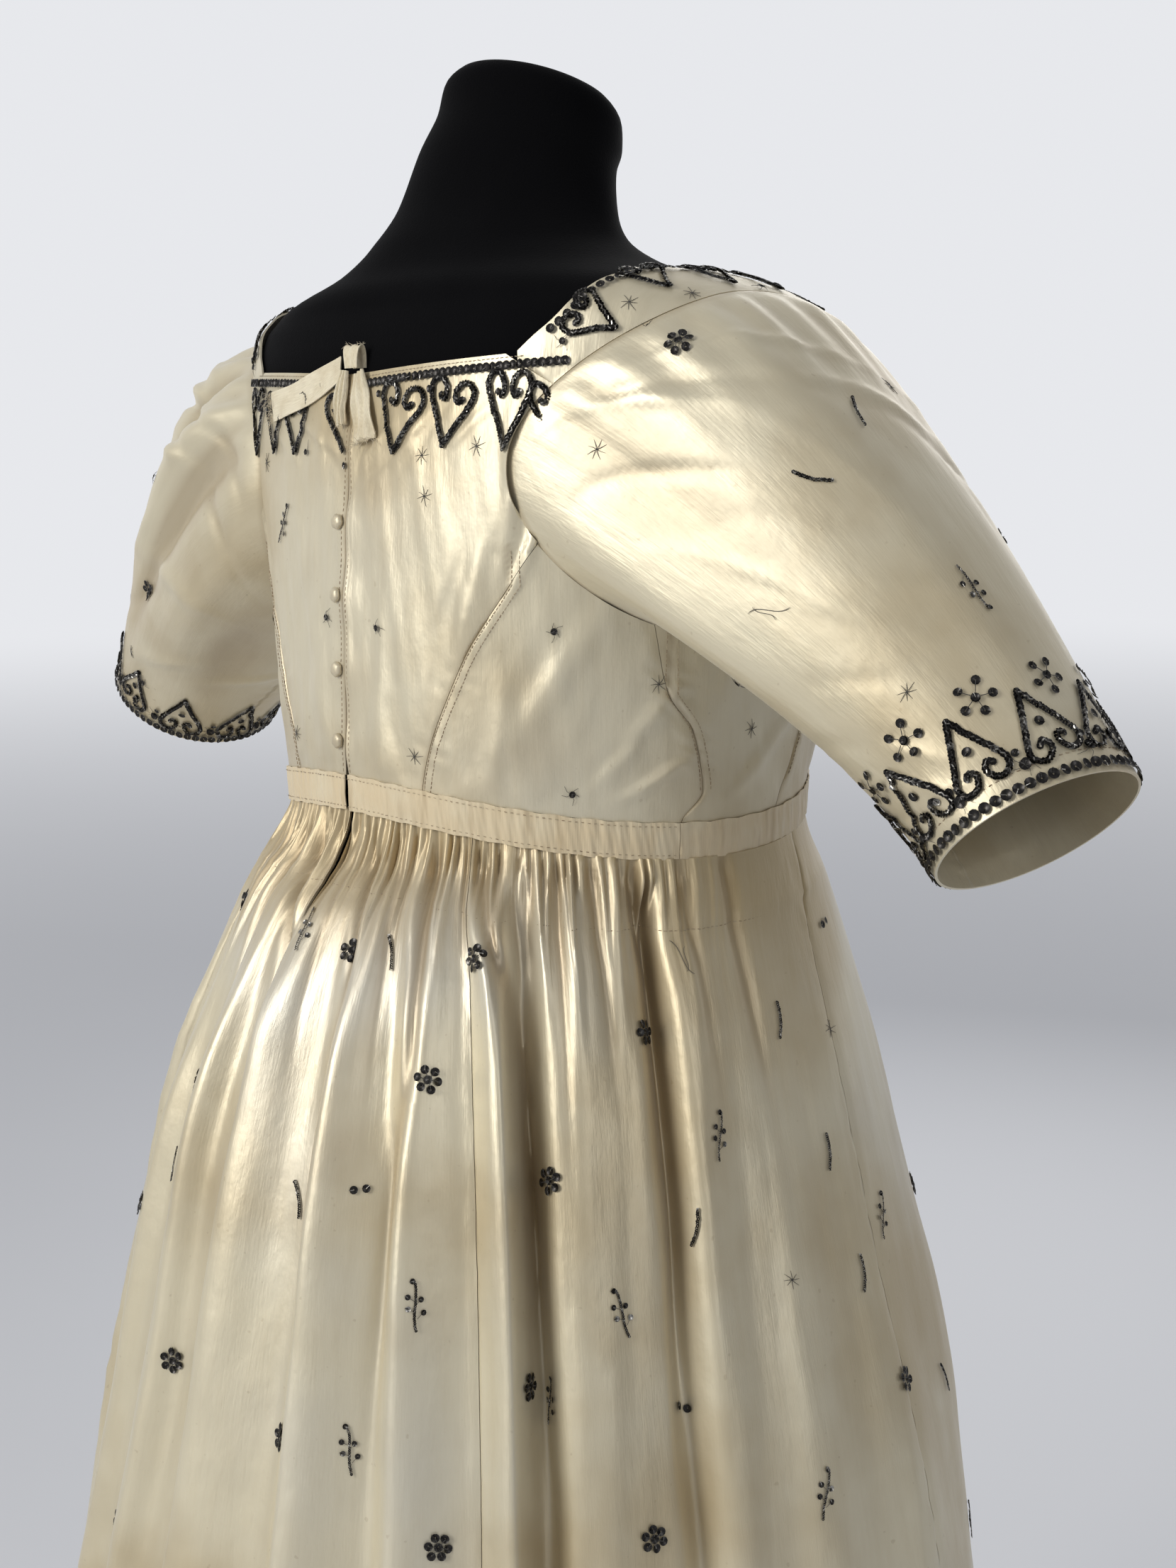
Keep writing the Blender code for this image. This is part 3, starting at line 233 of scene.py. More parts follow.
# Creases of the bodice: angle, height, lean in degrees, half_length, half_width, depth
BODICE_CREASES = (
    (9.0, 1.296, 62.0, 0.016, 0.0022, 0.0007), (4.0, 1.288, 35.0, 0.014, 0.0018, -0.0006),
    (14.0, 1.291, 70.0, 0.02, 0.002, -0.0006), (21.0, 1.3, 55.0, 0.018, 0.0024, 0.0007),
    (27.0, 1.305, 50.0, 0.016, 0.0022, -0.0006), (35.0, 1.303, 60.0, 0.016, 0.0022, 0.0006),
    (-6.0, 1.29, -40.0, 0.016, 0.002, -0.0007), (-12.0, 1.3, -60.0, 0.02, 0.0022, 0.0007),
    (-20.0, 1.304, -62.0, 0.018, 0.0024, -0.0007), (-27.0, 1.298, -50.0, 0.018, 0.0026, 0.0006),
    (44.0, 1.282, 12.0, 0.03, 0.004, 0.0016), (46.5, 1.272, 18.0, 0.026, 0.0026, -0.0016),
    (47.0, 1.252, 30.0, 0.02, 0.003, 0.0012), (-46.0, 1.27, -14.0, 0.03, 0.004, 0.0014),
    (-43.0, 1.26, -18.0, 0.026, 0.003, -0.0014), (36.0, 1.235, 28.0, 0.028, 0.006, 0.0011),
    (30.0, 1.216, 24.0, 0.03, 0.005, -0.0009), (52.0, 1.196, 40.0, 0.03, 0.007, 0.0014),
    (60.0, 1.18, 30.0, 0.03, 0.005, -0.0012), (66.0, 1.166, 48.0, 0.026, 0.0045, 0.001),
    (58.0, 1.152, 62.0, 0.024, 0.0035, -0.0008), (70.0, 1.146, 70.0, 0.02, 0.003, 0.0008),
    (40.0, 1.168, 20.0, 0.026, 0.005, 0.0008), (12.0, 1.19, 6.0, 0.034, 0.006, 0.0009),
    (16.0, 1.165, -8.0, 0.03, 0.005, -0.0007), (8.0, 1.225, 4.0, 0.036, 0.007, -0.0008),
    (-11.0, 1.18, -6.0, 0.034, 0.006, 0.0009), (-16.0, 1.205, -12.0, 0.034, 0.006, -0.0008),
    (-30.0, 1.18, -24.0, 0.032, 0.006, 0.001), (-52.0, 1.19, -36.0, 0.032, 0.007, 0.0013),
    (-62.0, 1.17, -40.0, 0.028, 0.005, -0.0011), (-70.0, 1.15, -66.0, 0.022, 0.004, 0.0009),
    (95.0, 1.15, 60.0, 0.028, 0.005, 0.0011), (108.0, 1.165, 50.0, 0.03, 0.006, -0.001),
    (-96.0, 1.152, -58.0, 0.028, 0.005, 0.0011), (-110.0, 1.168, -48.0, 0.03, 0.006, -0.001),
    (135.0, 1.19, 30.0, 0.034, 0.007, 0.0012), (150.0, 1.16, 20.0, 0.03, 0.006, -0.001),
    (-137.0, 1.19, -32.0, 0.034, 0.007, 0.0012), (-152.0, 1.162, -18.0, 0.03, 0.006, -0.001),
    (172.0, 1.2, 6.0, 0.036, 0.008, 0.001), (-170.0, 1.17, -8.0, 0.03, 0.006, 0.0009),
)
# Creases of the sleeves: round, along, lean, half_length, half_width, depth
SLEEVE_CREASES = {
    "right": ((70.0, 0.16, 72.0, 0.03, 0.0022, 0.001), (52.0, 0.2, 60.0, 0.03, 0.0026, -0.001),
              (38.0, 0.18, 50.0, 0.026, 0.0022, 0.001), (28.0, 0.3, 58.0, 0.032, 0.0024, -0.0008),
              (60.0, 0.38, 30.0, 0.024, 0.0018, 0.0006), (44.0, 0.45, 68.0, 0.026, 0.0016, -0.0006),
              (20.0, 0.48, 40.0, 0.024, 0.0018, 0.0007), (33.0, 0.6, 55.0, 0.022, 0.0015, 0.0006),
              (12.0, 0.66, 74.0, 0.024, 0.0016, -0.0006), (50.0, 0.58, 80.0, 0.02, 0.0014, 0.0005),
              (5.0, 0.78, 60.0, 0.022, 0.0018, 0.0007), (344.0, 0.7, 70.0, 0.03, 0.0026, -0.001),
              (350.0, 0.82, 66.0, 0.03, 0.0022, 0.001), (336.0, 0.86, 74.0, 0.028, 0.0022, -0.001),
              (95.0, 0.3, 80.0, 0.03, 0.0024, 0.0009), (120.0, 0.4, 70.0, 0.03, 0.0026, -0.0009),
              (150.0, 0.35, 60.0, 0.03, 0.003, 0.0012), (200.0, 0.5, 75.0, 0.03, 0.0028, -0.0012),
              (250.0, 0.45, 80.0, 0.03, 0.003, 0.0012), (290.0, 0.6, 70.0, 0.03, 0.0028, -0.001)),
    "left": ((8.0, 0.2, 78.0, 0.034, 0.004, -0.003), (22.0, 0.24, 70.0, 0.036, 0.0036, 0.0026),
             (34.0, 0.18, 66.0, 0.034, 0.003, -0.0024), (48.0, 0.2, 74.0, 0.036, 0.0034, 0.0024),
             (58.0, 0.26, 60.0, 0.036, 0.003, -0.0022), (74.0, 0.2, 72.0, 0.034, 0.003, 0.002),
             (88.0, 0.24, 80.0, 0.034, 0.0032, -0.0018), (355.0, 0.42, 64.0, 0.036, 0.004, 0.0022),
             (30.0, 0.52, 30.0, 0.03, 0.004, 0.0016), (14.0, 0.6, 50.0, 0.03, 0.0036, -0.0014),
             (340.0, 0.66, 60.0, 0.03, 0.004, 0.0014), (110.0, 0.3, 70.0, 0.032, 0.003, 0.0016),
             (140.0, 0.36, 74.0, 0.032, 0.0034, -0.0016), (180.0, 0.45, 66.0, 0.03, 0.0036, 0.0014),
             (230.0, 0.5, 70.0, 0.03, 0.0036, -0.0012), (280.0, 0.55, 62.0, 0.03, 0.0034, 0.0012)),
}

# Marks in the cloth: x, y, z, radius, strength of brown, strength of grey
MARKS = np.array((
    (-0.221, -0.02, 1.316, 0.006, 0.0, 0.55), (-0.226, -0.022, 1.309, 0.006, 0.0, 0.7),
    (-0.23, -0.024, 1.302, 0.005, 0.0, 0.55), (-0.236, -0.03, 1.3, 0.004, 0.0, 0.45),
    (-0.262, -0.048, 1.296, 0.0045, 0.5, 0.2),
    (-0.062, 0.128, 1.292, 0.01, 0.25, 0.05), (0.03, 0.122, 1.24, 0.014, 0.2, 0.0),
    (-0.02, 0.124, 1.278, 0.016, 0.35, 0.0), (0.01, 0.124, 1.296, 0.012, 0.3, 0.0),
    (-0.01, 0.124, 1.19, 0.018, 0.3, 0.0), (-0.1, 0.09, 1.16, 0.02, 0.3, 0.0),
    (0.08, 0.11, 1.16, 0.02, 0.25, 0.0), (-0.13, 0.04, 1.15, 0.02, 0.3, 0.0),
))

# Metal embroidery. Right half of a heart of height 1 and width 1, from its point to its curl
HEART_HALF = np.array(((0.0, -0.5), (0.12, -0.31), (0.27, -0.09), (0.42, 0.12), (0.5, 0.28),
                       (0.48, 0.41), (0.37, 0.49), (0.23, 0.48), (0.12, 0.38), (0.1, 0.26),
                       (0.18, 0.19), (0.26, 0.24)))
# Back neckline: angle, height, width, height of the heart, turn, halves that are left
NECK_HEARTS = (
    (17.3, 1.3085, 0.0265, 0.03, -13.0, "LR"), (31.0, 1.31, 0.0255, 0.029, -12.0, "LR"),
    (43.6, 1.3105, 0.0215, 0.033, -5.0, "LR"), (51.5, 1.308, 0.019, 0.028, 4.0, "L"),
    (-3.2, 1.308, 0.024, 0.028, 12.0, "L"), (-23.0, 1.308, 0.023, 0.028, 6.0, "LR"),
    (-33.6, 1.3095, 0.021, 0.029, 4.0, "LR"), (-44.5, 1.3105, 0.023, 0.032, 2.0, "LR"),
)
# Shoulder straps: turn over the shoulder, distance across, and the heart's turn or the kind
STRAP_HEARTS = ((38.0, 0.1285, 1.45), (56.0, 0.137, 1.35), (76.0, 0.142, 1.5), (98.0, 0.142, 1.6),
                (121.0, 0.137, 1.65), (144.0, 0.128, 1.7), (165.0, 0.119, 1.75))
STRAP_MOTIFS = (("star", 44.5, 0.14), ("bud", 41.0, 0.148), ("bud", 31.0, 0.119),
                ("star", 57.0, 0.1545), ("bud", 87.0, 0.154), ("star", 110.0, 0.15))
FRONT_HEARTS = tuple((180.0 + step * 14.5, 1.253, 0.0205, 0.032, 0.0, "LR") for step in range(-3, 4))
# Motifs of the bodice: kind, angle, height, turn
BODICE_MOTIFS = (
    ("star", 25.0, 1.274, 0.2), ("star", 24.2, 1.292, 0.0), ("star", 37.4, 1.2955, 0.4),
    ("star", -38.0, 1.29, 0.3), ("bead", -17.0, 1.2945, 0.0), ("dot", 10.0, 1.32, 0.0),
    ("dot", 26.0, 1.321, 0.0), ("dot", -6.5, 1.319, 0.0), ("sprig", -27.0, 1.26, -0.5),
    ("bud", 11.4, 1.214, 0.2), ("bud", -6.8, 1.217, -0.2), ("bud", 51.0, 1.215, 0.5),
    ("star", 21.0, 1.156, 0.0), ("bud", 54.0, 1.141, -0.3), ("star", 70.0, 1.19, 0.1),
    ("dot", -1.5, 1.288, 0.0), ("bud", -48.0, 1.21, 0.0), ("star", -22.0, 1.158, 0.0),
    ("flower", -62.0, 1.16, 0.0), ("star", 92.0, 1.165, 0.0), ("star", -92.0, 1.165, 0.0),
    ("flower", 128.0, 1.19, 0.0), ("flower", -128.0, 1.19, 0.0), ("sprig", 155.0, 1.195, 0.3),
    ("sprig", -155.0, 1.195, -0.3), ("star", 142.0, 1.152, 0.0), ("star", -142.0, 1.152, 0.0),
    ("flower", 180.0, 1.185, 0.0), ("bud", 170.0, 1.15, 0.0), ("bud", -168.0, 1.15, 0.0),
)
# Motifs of the skirt that show in the photograph: kind, angle on the body, height, turn
SKIRT_MOTIFS = (
    ("flower", 13.3, 1.068, 0.2), ("flower", 37.8, 1.073, 0.0), ("flower", 63.7, 1.037, 0.3),
    ("flower", 48.7, 0.98, 0.0), ("flower", -9.7, 0.863, 0.1), ("flower", 14.5, 0.858, 0.4),
    ("flower", 45.7, 0.894, 0.2), ("flower", 94.8, 0.867, 0.0), ("flower", 36.0, 0.83, 0.3),
    ("flower", 59.3, 0.831, 0.1), ("flower", 32.1, 1.023, 0.2), ("sprig", 2.4, 1.074, 0.35),
    ("worn", 71.0, 1.068, 0.0), ("sprig", 72.4, 0.992, -0.25), ("sprig", 32.6, 0.931, 0.1),
    ("sprig", 24.4, 0.862, 0.2), ("sprig", 57.0, 0.925, 0.3), ("sprig", 48.4, 0.885, 0.05),
    ("sprig", 100.0, 0.934, -0.4), ("sprig", 79.2, 0.837, -0.2), ("comma", 21.4, 1.07, 0.3),
    ("comma", 12.0, 0.96, 0.3), ("comma", 67.5, 0.956, -0.1), ("comma", 87.5, 1.033, -0.2),
    ("comma", 91.0, 0.972, -0.2), ("comma", 91.5, 0.918, -0.2), ("pair", 23.3, 0.973, 0.0),
    ("pair", 64.5, 0.878, -0.5), ("star", 99.0, 1.022, 0.0), ("star", 80.0, 0.926, 0.0),
    ("bud", -1.0, 0.828, 0.0), ("comma", -14.0, 0.955, 0.2), ("comma", -4.0, 0.93, 0.2),
)
# Motifs of the sleeves: kind, round, along, turn
SLEEVE_MOTIFS = {
    "right": (("star", 18.0, 0.18, 0.2), ("flower", 52.0, 0.1, 0.0), ("comma", 52.0, 0.4, 0.6),
              ("comma", 80.0, 0.33, -0.4), ("worn", 12.0, 0.52, 0.3), ("star", 26.0, 0.72, 0.1),
              ("sprig", 74.0, 0.62, 0.2), ("star", 110.0, 0.25, 0.0), ("flower", 135.0, 0.5, 0.0),
              ("sprig", 160.0, 0.3, 0.0), ("star", 200.0, 0.5, 0.0), ("bud", 320.0, 0.45, 0.0),
              ("star", 270.0, 0.6, 0.0), ("comma", 230.0, 0.4, 0.0)),
    "left": (("flower", 12.0, 0.58, 0.0), ("star", 5.0, 0.76, 0.0), ("bud", 345.0, 0.8, 0.0),
             ("star", 40.0, 0.7, 0.0), ("sprig", 70.0, 0.55, 0.2), ("flower", 85.0, 0.3, 0.0),
             ("sprig", 120.0, 0.5, 0.2), ("star", 150.0, 0.6, 0.0), ("bud", 200.0, 0.55, 0.0),
             ("star", 260.0, 0.6, 0.0), ("bud", 30.0, 0.35, 0.0)),
}
CUFF_HEARTS = {"right": (352.0, 28.0, 64.0, 100.0, 136.0, 172.0, 208.0, 244.0, 280.0, 316.0),
               "left": (352.0, 27.0, 62.0, 97.0, 132.0, 167.0, 202.0, 237.0, 272.0, 312.0)}

# Camera of the photograph
CAMERA_PLACE = (-0.72834, 0.63761, 1.287)
CAMERA_FORWARD = (0.72642, -0.66658, -0.16728)
CAMERA_RIGHT = (-0.67764, -0.73528, -0.01273)
CAMERA_LENS = 43.23
CAMERA_SENSOR = 36.0
BACKDROP_LIT = (0.8, 0.81, 0.84, 1.0)
BACKDROP_DIM = (0.3, 0.305, 0.32, 1.0)


# Properties
def length(name, words, default, low, high):
    return FloatProperty(name=name, description=words, default=default, min=low, max=high, precision=5,
                         subtype="DISTANCE", unit="LENGTH")


def tint(name, words, default):
    return FloatVectorProperty(name=name, description=words, default=default, subtype="COLOR", size=3,
                               min=0.0, max=1.0)


class GownSizes(bpy.types.PropertyGroup):
    cloth: length("Cloth", "Thickness of the satin", 0.0009, 0.0005, 0.0012)
    ribbon: length("Ribbon", "Thickness of the waistband", 0.0005, 0.0003, 0.0009)
    gather_columns: IntProperty(name="Gather columns", description="Mesh columns across one gather",
                                default=8, min=6, max=14)
    sequin: length("Sequin", "Radius of the sequins in rows", 0.0024, 0.001, 0.004)
    link: length("Chain link", "Radius of the small sequins in the hearts", 0.00155, 0.0008, 0.0025)
    thread: length("Thread", "Radius of the loose metal threads", 0.00013, 0.00005, 0.0003)


class GownColours(bpy.types.PropertyGroup):
    satin: tint("Satin", "Clean ivory satin", (0.7, 0.635, 0.47))
    aged: tint("Aged satin", "Satin that has yellowed", (0.5, 0.4, 0.235))
    cool: tint("Faded satin", "Satin where the warm tone has gone", (0.66, 0.645, 0.58))
    # The stain colour is also the painted shade in the hollows of the satin
    stain: tint("Stain", "Old brown stains", (0.26, 0.165, 0.065))
    ribbon: tint("Ribbon", "Waistband ribbon", (0.66, 0.54, 0.35))
    tape: tint("Tape", "Tape of the tie", (0.76, 0.69, 0.52))
    floor: tint("Floor", "Studio floor", (0.7, 0.71, 0.74))


def sizes():
    return bpy.context.scene.gown_sizes


def colour(name):
    return (*getattr(bpy.context.scene.gown_colours, name), 1.0)


# Shape functions, the same as those of the solids
def smooth_read(x, xs, ys):
    """Read a table column between its rows, on a smooth curve that doesn't overshoot."""
    x = np.clip(np.asarray(x, float), xs[0], xs[-1])
    step = np.diff(xs)
    slope = np.diff(ys) / step
    bend = np.empty(len(ys))
    bend[0], bend[-1] = slope[0], slope[-1]
    product = slope[:-1] * slope[1:]
    total = np.where(product > 0, slope[:-1] + slope[1:], 1.0)
    bend[1:-1] = np.where(product > 0, 2 * product / total, 0.0)
    row = np.clip(np.searchsorted(xs, x) - 1, 0, len(xs) - 2)
    t = (x - xs[row]) / step[row]
    return ((2 * t**3 - 3 * t**2 + 1) * ys[row] + (t**3 - 2 * t**2 + t) * step[row] * bend[row]
            + (3 * t**2 - 2 * t**3) * ys[row + 1] + (t**3 - t**2) * step[row] * bend[row + 1])


def smooth_step(low, high, x):
    """0 at low, 1 at high and beyond, with soft ends; high may be the smaller of the two."""
    t = np.clip((np.asarray(x, float) - low) / (high - low), 0.0, 1.0)
    return t * t * (3 - 2 * t)


def unit(vectors):
    return vectors / np.linalg.norm(vectors, axis=-1, keepdims=True)


def section(table, height):
    return [smooth_read(height, table[:, 0], table[:, k]) for k in range(1, len(SECTION_COLUMNS))]


def shift_back(height):
    return smooth_read(height, TORSO[:, 0], TORSO[:, -1])


def oval(angle, half_width, back, front, squareness):
    depth = np.where(np.cos(angle) > 0, back, front)
    return ((np.abs(np.sin(angle)) / half_width) ** squareness
            + (np.abs(np.cos(angle)) / depth) ** squareness) ** (-1 / squareness)


def polar(angle, radius, height):
    return np.stack(np.broadcast_arrays(-radius * np.sin(angle), radius * np.cos(angle), height), -1)


def torso_radius(angle, height):
    return oval(angle, *section(TORSO, height))


def torso_face(angle, height):
    return polar(angle, torso_radius(angle, height), height)


def torso_across(y, height):
    half_width, back, front, squareness = section(TORSO, height)
    y = y - shift_back(height)
    depth = np.where(y > 0, back, front)
    inside = np.clip(1 - (np.abs(y) / depth) ** squareness, 0, 1)
    return half_width * inside ** (1 / squareness)


def armhole(round_angle, scale=1.0):
    power = 2 / ARMHOLE_SQUARENESS
    c, s = np.cos(round_angle), np.sin(round_angle)
    y = ARMHOLE_Y + scale * ARMHOLE_HALF_DEPTH * np.sign(c) * np.abs(c) ** power
    z = ARMHOLE_Z + scale * ARMHOLE_HALF_HEIGHT * np.sign(s) * np.abs(s) ** power
    return np.stack([-torso_across(y, z), y, z], -1)


def armhole_angle(height, front=False):
    rise = (height - ARMHOLE_Z) / ARMHOLE_HALF_HEIGHT
    place = np.arcsin(np.clip(np.sign(rise) * np.abs(rise) ** (ARMHOLE_SQUARENESS / 2), -1, 1))
    return np.pi - place if front else place


def as_angle(point):
    return np.arctan2(-point[..., 0], point[..., 1])


def band_rise(angle):
    return WAIST_RISE * np.cos(2 * angle)


def opening_gap(height):
    return np.interp(height, OPENING_HEIGHTS, OPENING_HALF_GAPS)


def bodice_bottom(angle):
    return WAIST_HEIGHT + band_rise(angle) + BAND_HALF_WIDTH + BAND_SEAM_GAP


def over_shoulder(x, turn):
    """Points of the shoulder's face at a distance across and an angle over the shoulder."""
    x, turn = np.broadcast_arrays(np.abs(np.asarray(x, float)), turn)
    low, high = np.full(x.shape, 0.02), np.full(x.shape, 0.16)
    for _ in range(24):
        reach = (low + high) / 2
        inside = torso_across(reach * np.cos(turn), ARMHOLE_Z + reach * np.sin(turn)) > x
        low, high = np.where(inside, reach, low), np.where(inside, high, reach)
    return np.stack([-x, low * np.cos(turn), ARMHOLE_Z + low * np.sin(turn)], -1)


def normals(face, a, b, step_a, step_b):
    across = face(a + step_a, b) - face(a - step_a, b)
    along = face(a, b + step_b) - face(a, b - step_b)
    return unit(np.cross(across, along))


def creases(table, a, b, scale_a, scale_b):
    """Soft ridges and troughs placed by hand, as heights over a smooth face."""
    total = np.zeros(np.broadcast(a, b).shape)
    for a0, b0, lean, half_length, half_width, depth in table:
        x = ((a - a0 + 180.0) % 360.0 - 180.0) * scale_a
        y = (b - b0) * scale_b
        c, s = np.cos(np.radians(lean)), np.sin(np.radians(lean))
        along = x * s + y * c
        across = x * c - y * s + 0.12 * half_length * np.sin(1.7 * along / half_length)
        total += depth * np.exp(-(along / half_length) ** 2 - (across / half_width) ** 2)
    return total


def seam_distance(angle, height, table, radius):
    seam = np.radians(smooth_read(height, table[:, 0], table[:, 1]))
    return (np.abs(angle) - seam) * radius


def bodice_relief(angle, height):
    """Creases, sunk seams, and the lap of the closing, as heights over the bodice's face."""
    turn = (np.degrees(angle) + 180.0) % 360.0 - 180.0
    total = creases(BODICE_CREASES, turn, height, np.radians(TRUNK_RADIUS), 1.0) * 1.7
    for table, top in ((SIDE_BACK_SEAM, SIDE_BACK_TOP), (UNDERARM_SEAM, UNDERARM_TOP),
                       (FRONT_SEAM, FRONT_SEAM_TOP)):
        away = seam_distance(np.radians(turn), height, table, TRUNK_RADIUS)
        below = smooth_step(top + 0.004, top - 0.008, height)
        groove = -0.0005 * np.exp(-(away / 0.0011) ** 2)
        welt = 0.00028 * smooth_step(0.0, 0.0012, away) * smooth_step(0.0064, 0.0052, away)
        pucker = 0.00022 * np.exp(-((np.abs(away) - 0.006) / 0.005) ** 2) * np.sin(
            height * 540.0 + 2.2 * np.sin(height * 190.0) + away * 300.0)
        total += below * (groove + welt + pucker)
    at_back = np.radians(turn) * NECKLINE_RADIUS
    near = np.exp(-(at_back / 0.014) ** 2)
    pull = np.cos(2 * np.pi * (height - 1.262) / 0.0345)
    total += near * 0.00045 * pull + 0.0005 * np.exp(-((at_back - 0.003) / 0.0022) ** 2)
    edge = 0.0007 * smooth_step(0.0, 0.0006, at_back) * smooth_step(0.0022, 0.0014, at_back)
    wave = (0.0007 * np.sin(turn * 0.3 + 9.0 * height) * np.sin(height * 55.0 + turn * 0.09)
            + 0.00028 * np.sin(turn * 0.83 - 40.0 * height) * np.sin(height * 130.0 + turn * 0.31))
    total += edge + wave * smooth_step(1.34, 1.3, height)
    total = total * smooth_step(0.0, 0.01, height - bodice_bottom(angle) + 0.001)
    return np.where(total < 0, total / (1 - total / DEEPEST_CREASE), total)


def bodice_point(angle, height):
    small = 1e-4
    out = bodice_relief(angle, height)
    return torso_face(angle, height) + normals(torso_face, angle, height, small, small) * out[..., None]


def strap_point(across, turn):
    """The strap's face, a little uneven, by the distance across and the angle over the shoulder."""
    uneven = 0.0003 * np.sin(across * 420.0 + turn * 5.0) * np.sin(turn * 11.0)
    face = over_shoulder(across, turn)
    middle = np.array((0.0, ARMHOLE_Y, ARMHOLE_Z - 0.05))
    return face + unit(face - middle) * uneven[..., None]


# The skirt
def cloth_angle(cloth, height):
    size = np.abs(cloth)
    back_waist, side_waist = SKIRT_BACK_SEAM[-1, 1], SKIRT_SIDE_SEAM[-1, 1]
    near_back = np.where(size < back_waist, size / back_waist,
                         np.clip(1 - (size - back_waist) / (side_waist - back_waist), 0, 1))
    near_side = np.where(size < side_waist,
                         np.clip((size - back_waist) / (side_waist - back_waist), 0, 1),
                         1 - (size - side_waist) / (180.0 - side_waist))
    back_drift = smooth_read(height, SKIRT_BACK_SEAM[:, 0], SKIRT_BACK_SEAM[:, 1]) - back_waist
    side_drift = smooth_read(height, SKIRT_SIDE_SEAM[:, 0], SKIRT_SIDE_SEAM[:, 1]) - side_waist
    return np.sign(cloth) * (size + near_back * back_drift + near_side * side_drift)


def cloth_of(angle, height):
    """The line of the cloth that lies at an angle on the body, in degrees."""
    lines = np.linspace(-180.0, 180.0, 1441)
    return float(np.interp(angle, cloth_angle(lines, height), lines))


def gather_phase(cloth):
    return cloth / GATHER_SPACING + 0.3 * np.sin(0.35 * cloth + 1.0) + 0.14 * np.sin(0.83 * cloth)


def gather_parts(cloth, height):
    """The height of the gathers, and how deep in a valley each point lies, 0 to 1."""
    reach = 1 - smooth_step(*GATHERS_THIN, np.abs(cloth))
    phase = 2 * np.pi * gather_phase(cloth)
    below = np.clip(WAIST_HEIGHT - BAND_HALF_WIDTH + band_rise(np.radians(cloth)) - height, 0, None)
    length = GATHER_FADE * (0.4 + 0.2 * np.sin(0.37 * phase + 0.7) + 0.14 * np.sin(0.83 * phase))
    growth = 0.45 + 0.55 * smooth_step(0.0, 0.01, below)
    sway = 0.9 * smooth_step(0.0, 0.06, below) * np.sin(0.9 * cloth + 30.0 * below)
    fine = growth * (1 - smooth_step(0.25, 1.0, below / length))
    wide = smooth_step(0.004, 0.022, below) * (1 - smooth_step(0.03, 0.1, below))
    wave = np.cos(phase + sway)
    broad = np.cos(phase * 0.41 + 1.3 * np.sin(0.11 * phase) + 0.5 * sway)
    size = reach * (0.72 + 0.28 * np.sin(1.31 * cloth + 0.6))
    total = size * GATHER_DEPTH * (fine * (wave + 0.22 * (1 - wave**2)) + 0.9 * wide * broad)
    return total, reach * (0.62 * fine * (1 - wave) / 2 + 0.45 * wide * (1 - broad) / 2)


def fold_offset(cloth, height):
    total = np.zeros(np.broadcast(cloth, height).shape)
    for angle, half_before, half_after, depth, starts, full in FOLDS:
        turn = (cloth - angle + 180.0) % 360.0 - 180.0
        half = np.where(turn < 0, half_before, half_after)
        sharp = FOLDS_SHARP[0] < angle < FOLDS_SHARP[1]
        reach = smooth_step(starts, full + FOLD_EARLY * sharp, height)
        total += depth * (FOLD_STRENGTH if sharp else 1.0) * np.exp(-(turn / half) ** 2) * reach
    return total - FOLD_MEAN * smooth_step(1.08, 0.9, height)


def troughs(cloth, height):
    """Narrow valleys that run down from the gathers, as shares of their depth and as depths."""
    share, deep = (np.zeros(np.broadcast(cloth, height).shape) for _ in range(2))
    for row in TROUGHS:
        centre = smooth_read(height, TROUGH_HEIGHTS[::-1], np.array(row[:4])[::-1])
        half, depth, end = row[4:]
        turn = (cloth - centre) / half
        one = np.exp(-turn**2) * smooth_step(1.117, 1.1, height) * smooth_step(end - 0.04, end + 0.1, height)
        share, deep = np.maximum(share, one), deep + depth * one
    return share, deep


def skirt_fine(cloth, height):
    """Puckered seams, the stitched line below the band and slight unevenness of the cloth."""
    total = np.zeros(np.broadcast(cloth, height).shape)
    for line, reach in ((SKIRT_BACK_SEAM[-1, 1], 0.01), (SKIRT_SIDE_SEAM[-1, 1], 0.009)):
        away = (np.abs(cloth) - line) * np.radians(0.175)
        side = np.sign(away)
        phase = height * 330.0 + 1.8 * np.sin(height * 95.0) - side * away * 260.0 + side
        fade = np.exp(-(away / reach) ** 2) * smooth_step(1.112, 1.085, height)
        total += fade * (0.00062 * np.sin(phase) * (0.6 + 0.4 * np.sin(height * 41.0)))
        total -= 0.0007 * np.exp(-(away / 0.0012) ** 2) * smooth_step(1.115, 1.1, height)
    line = stitched_line(np.abs(cloth))
    total += 0.0006 * np.exp(-((height - line - 0.0016) / 0.0012) ** 2)
    total -= 0.0004 * np.exp(-((height - line) / 0.0009) ** 2)
    broad = np.sin(cloth * 0.21 + 7.0 * height) * np.sin(height * 24.0 + cloth * 0.05)
    small = np.sin(cloth * 0.9 + 31.0 * height) * np.sin(height * 63.0 - cloth * 0.3)
    return total + (0.0011 * broad + 0.00035 * small) * smooth_step(1.1, 0.98, height)


def stitched_line(size):
    """Height of the line of stitches round the skirt, under the gathers."""
    return WAIST_HEIGHT + band_rise(np.radians(size)) - 0.0415 + 0.004 * size / 90.0


def skirt_radius(cloth, height):
    angle = np.radians(cloth_angle(cloth, height))
    base = oval(angle, *section(SKIRT, height))
    under_band = UNDER_BAND * smooth_step(1.106, 1.118, height)
    relief = (fold_offset(cloth, height) + gather_parts(cloth, height)[0] + skirt_fine(cloth, height)
              - troughs(cloth, height)[1])
    return angle, base + relief - under_band


def skirt_point(cloth, height):
    angle, radius = skirt_radius(cloth, height)
    return polar(angle, radius, height)


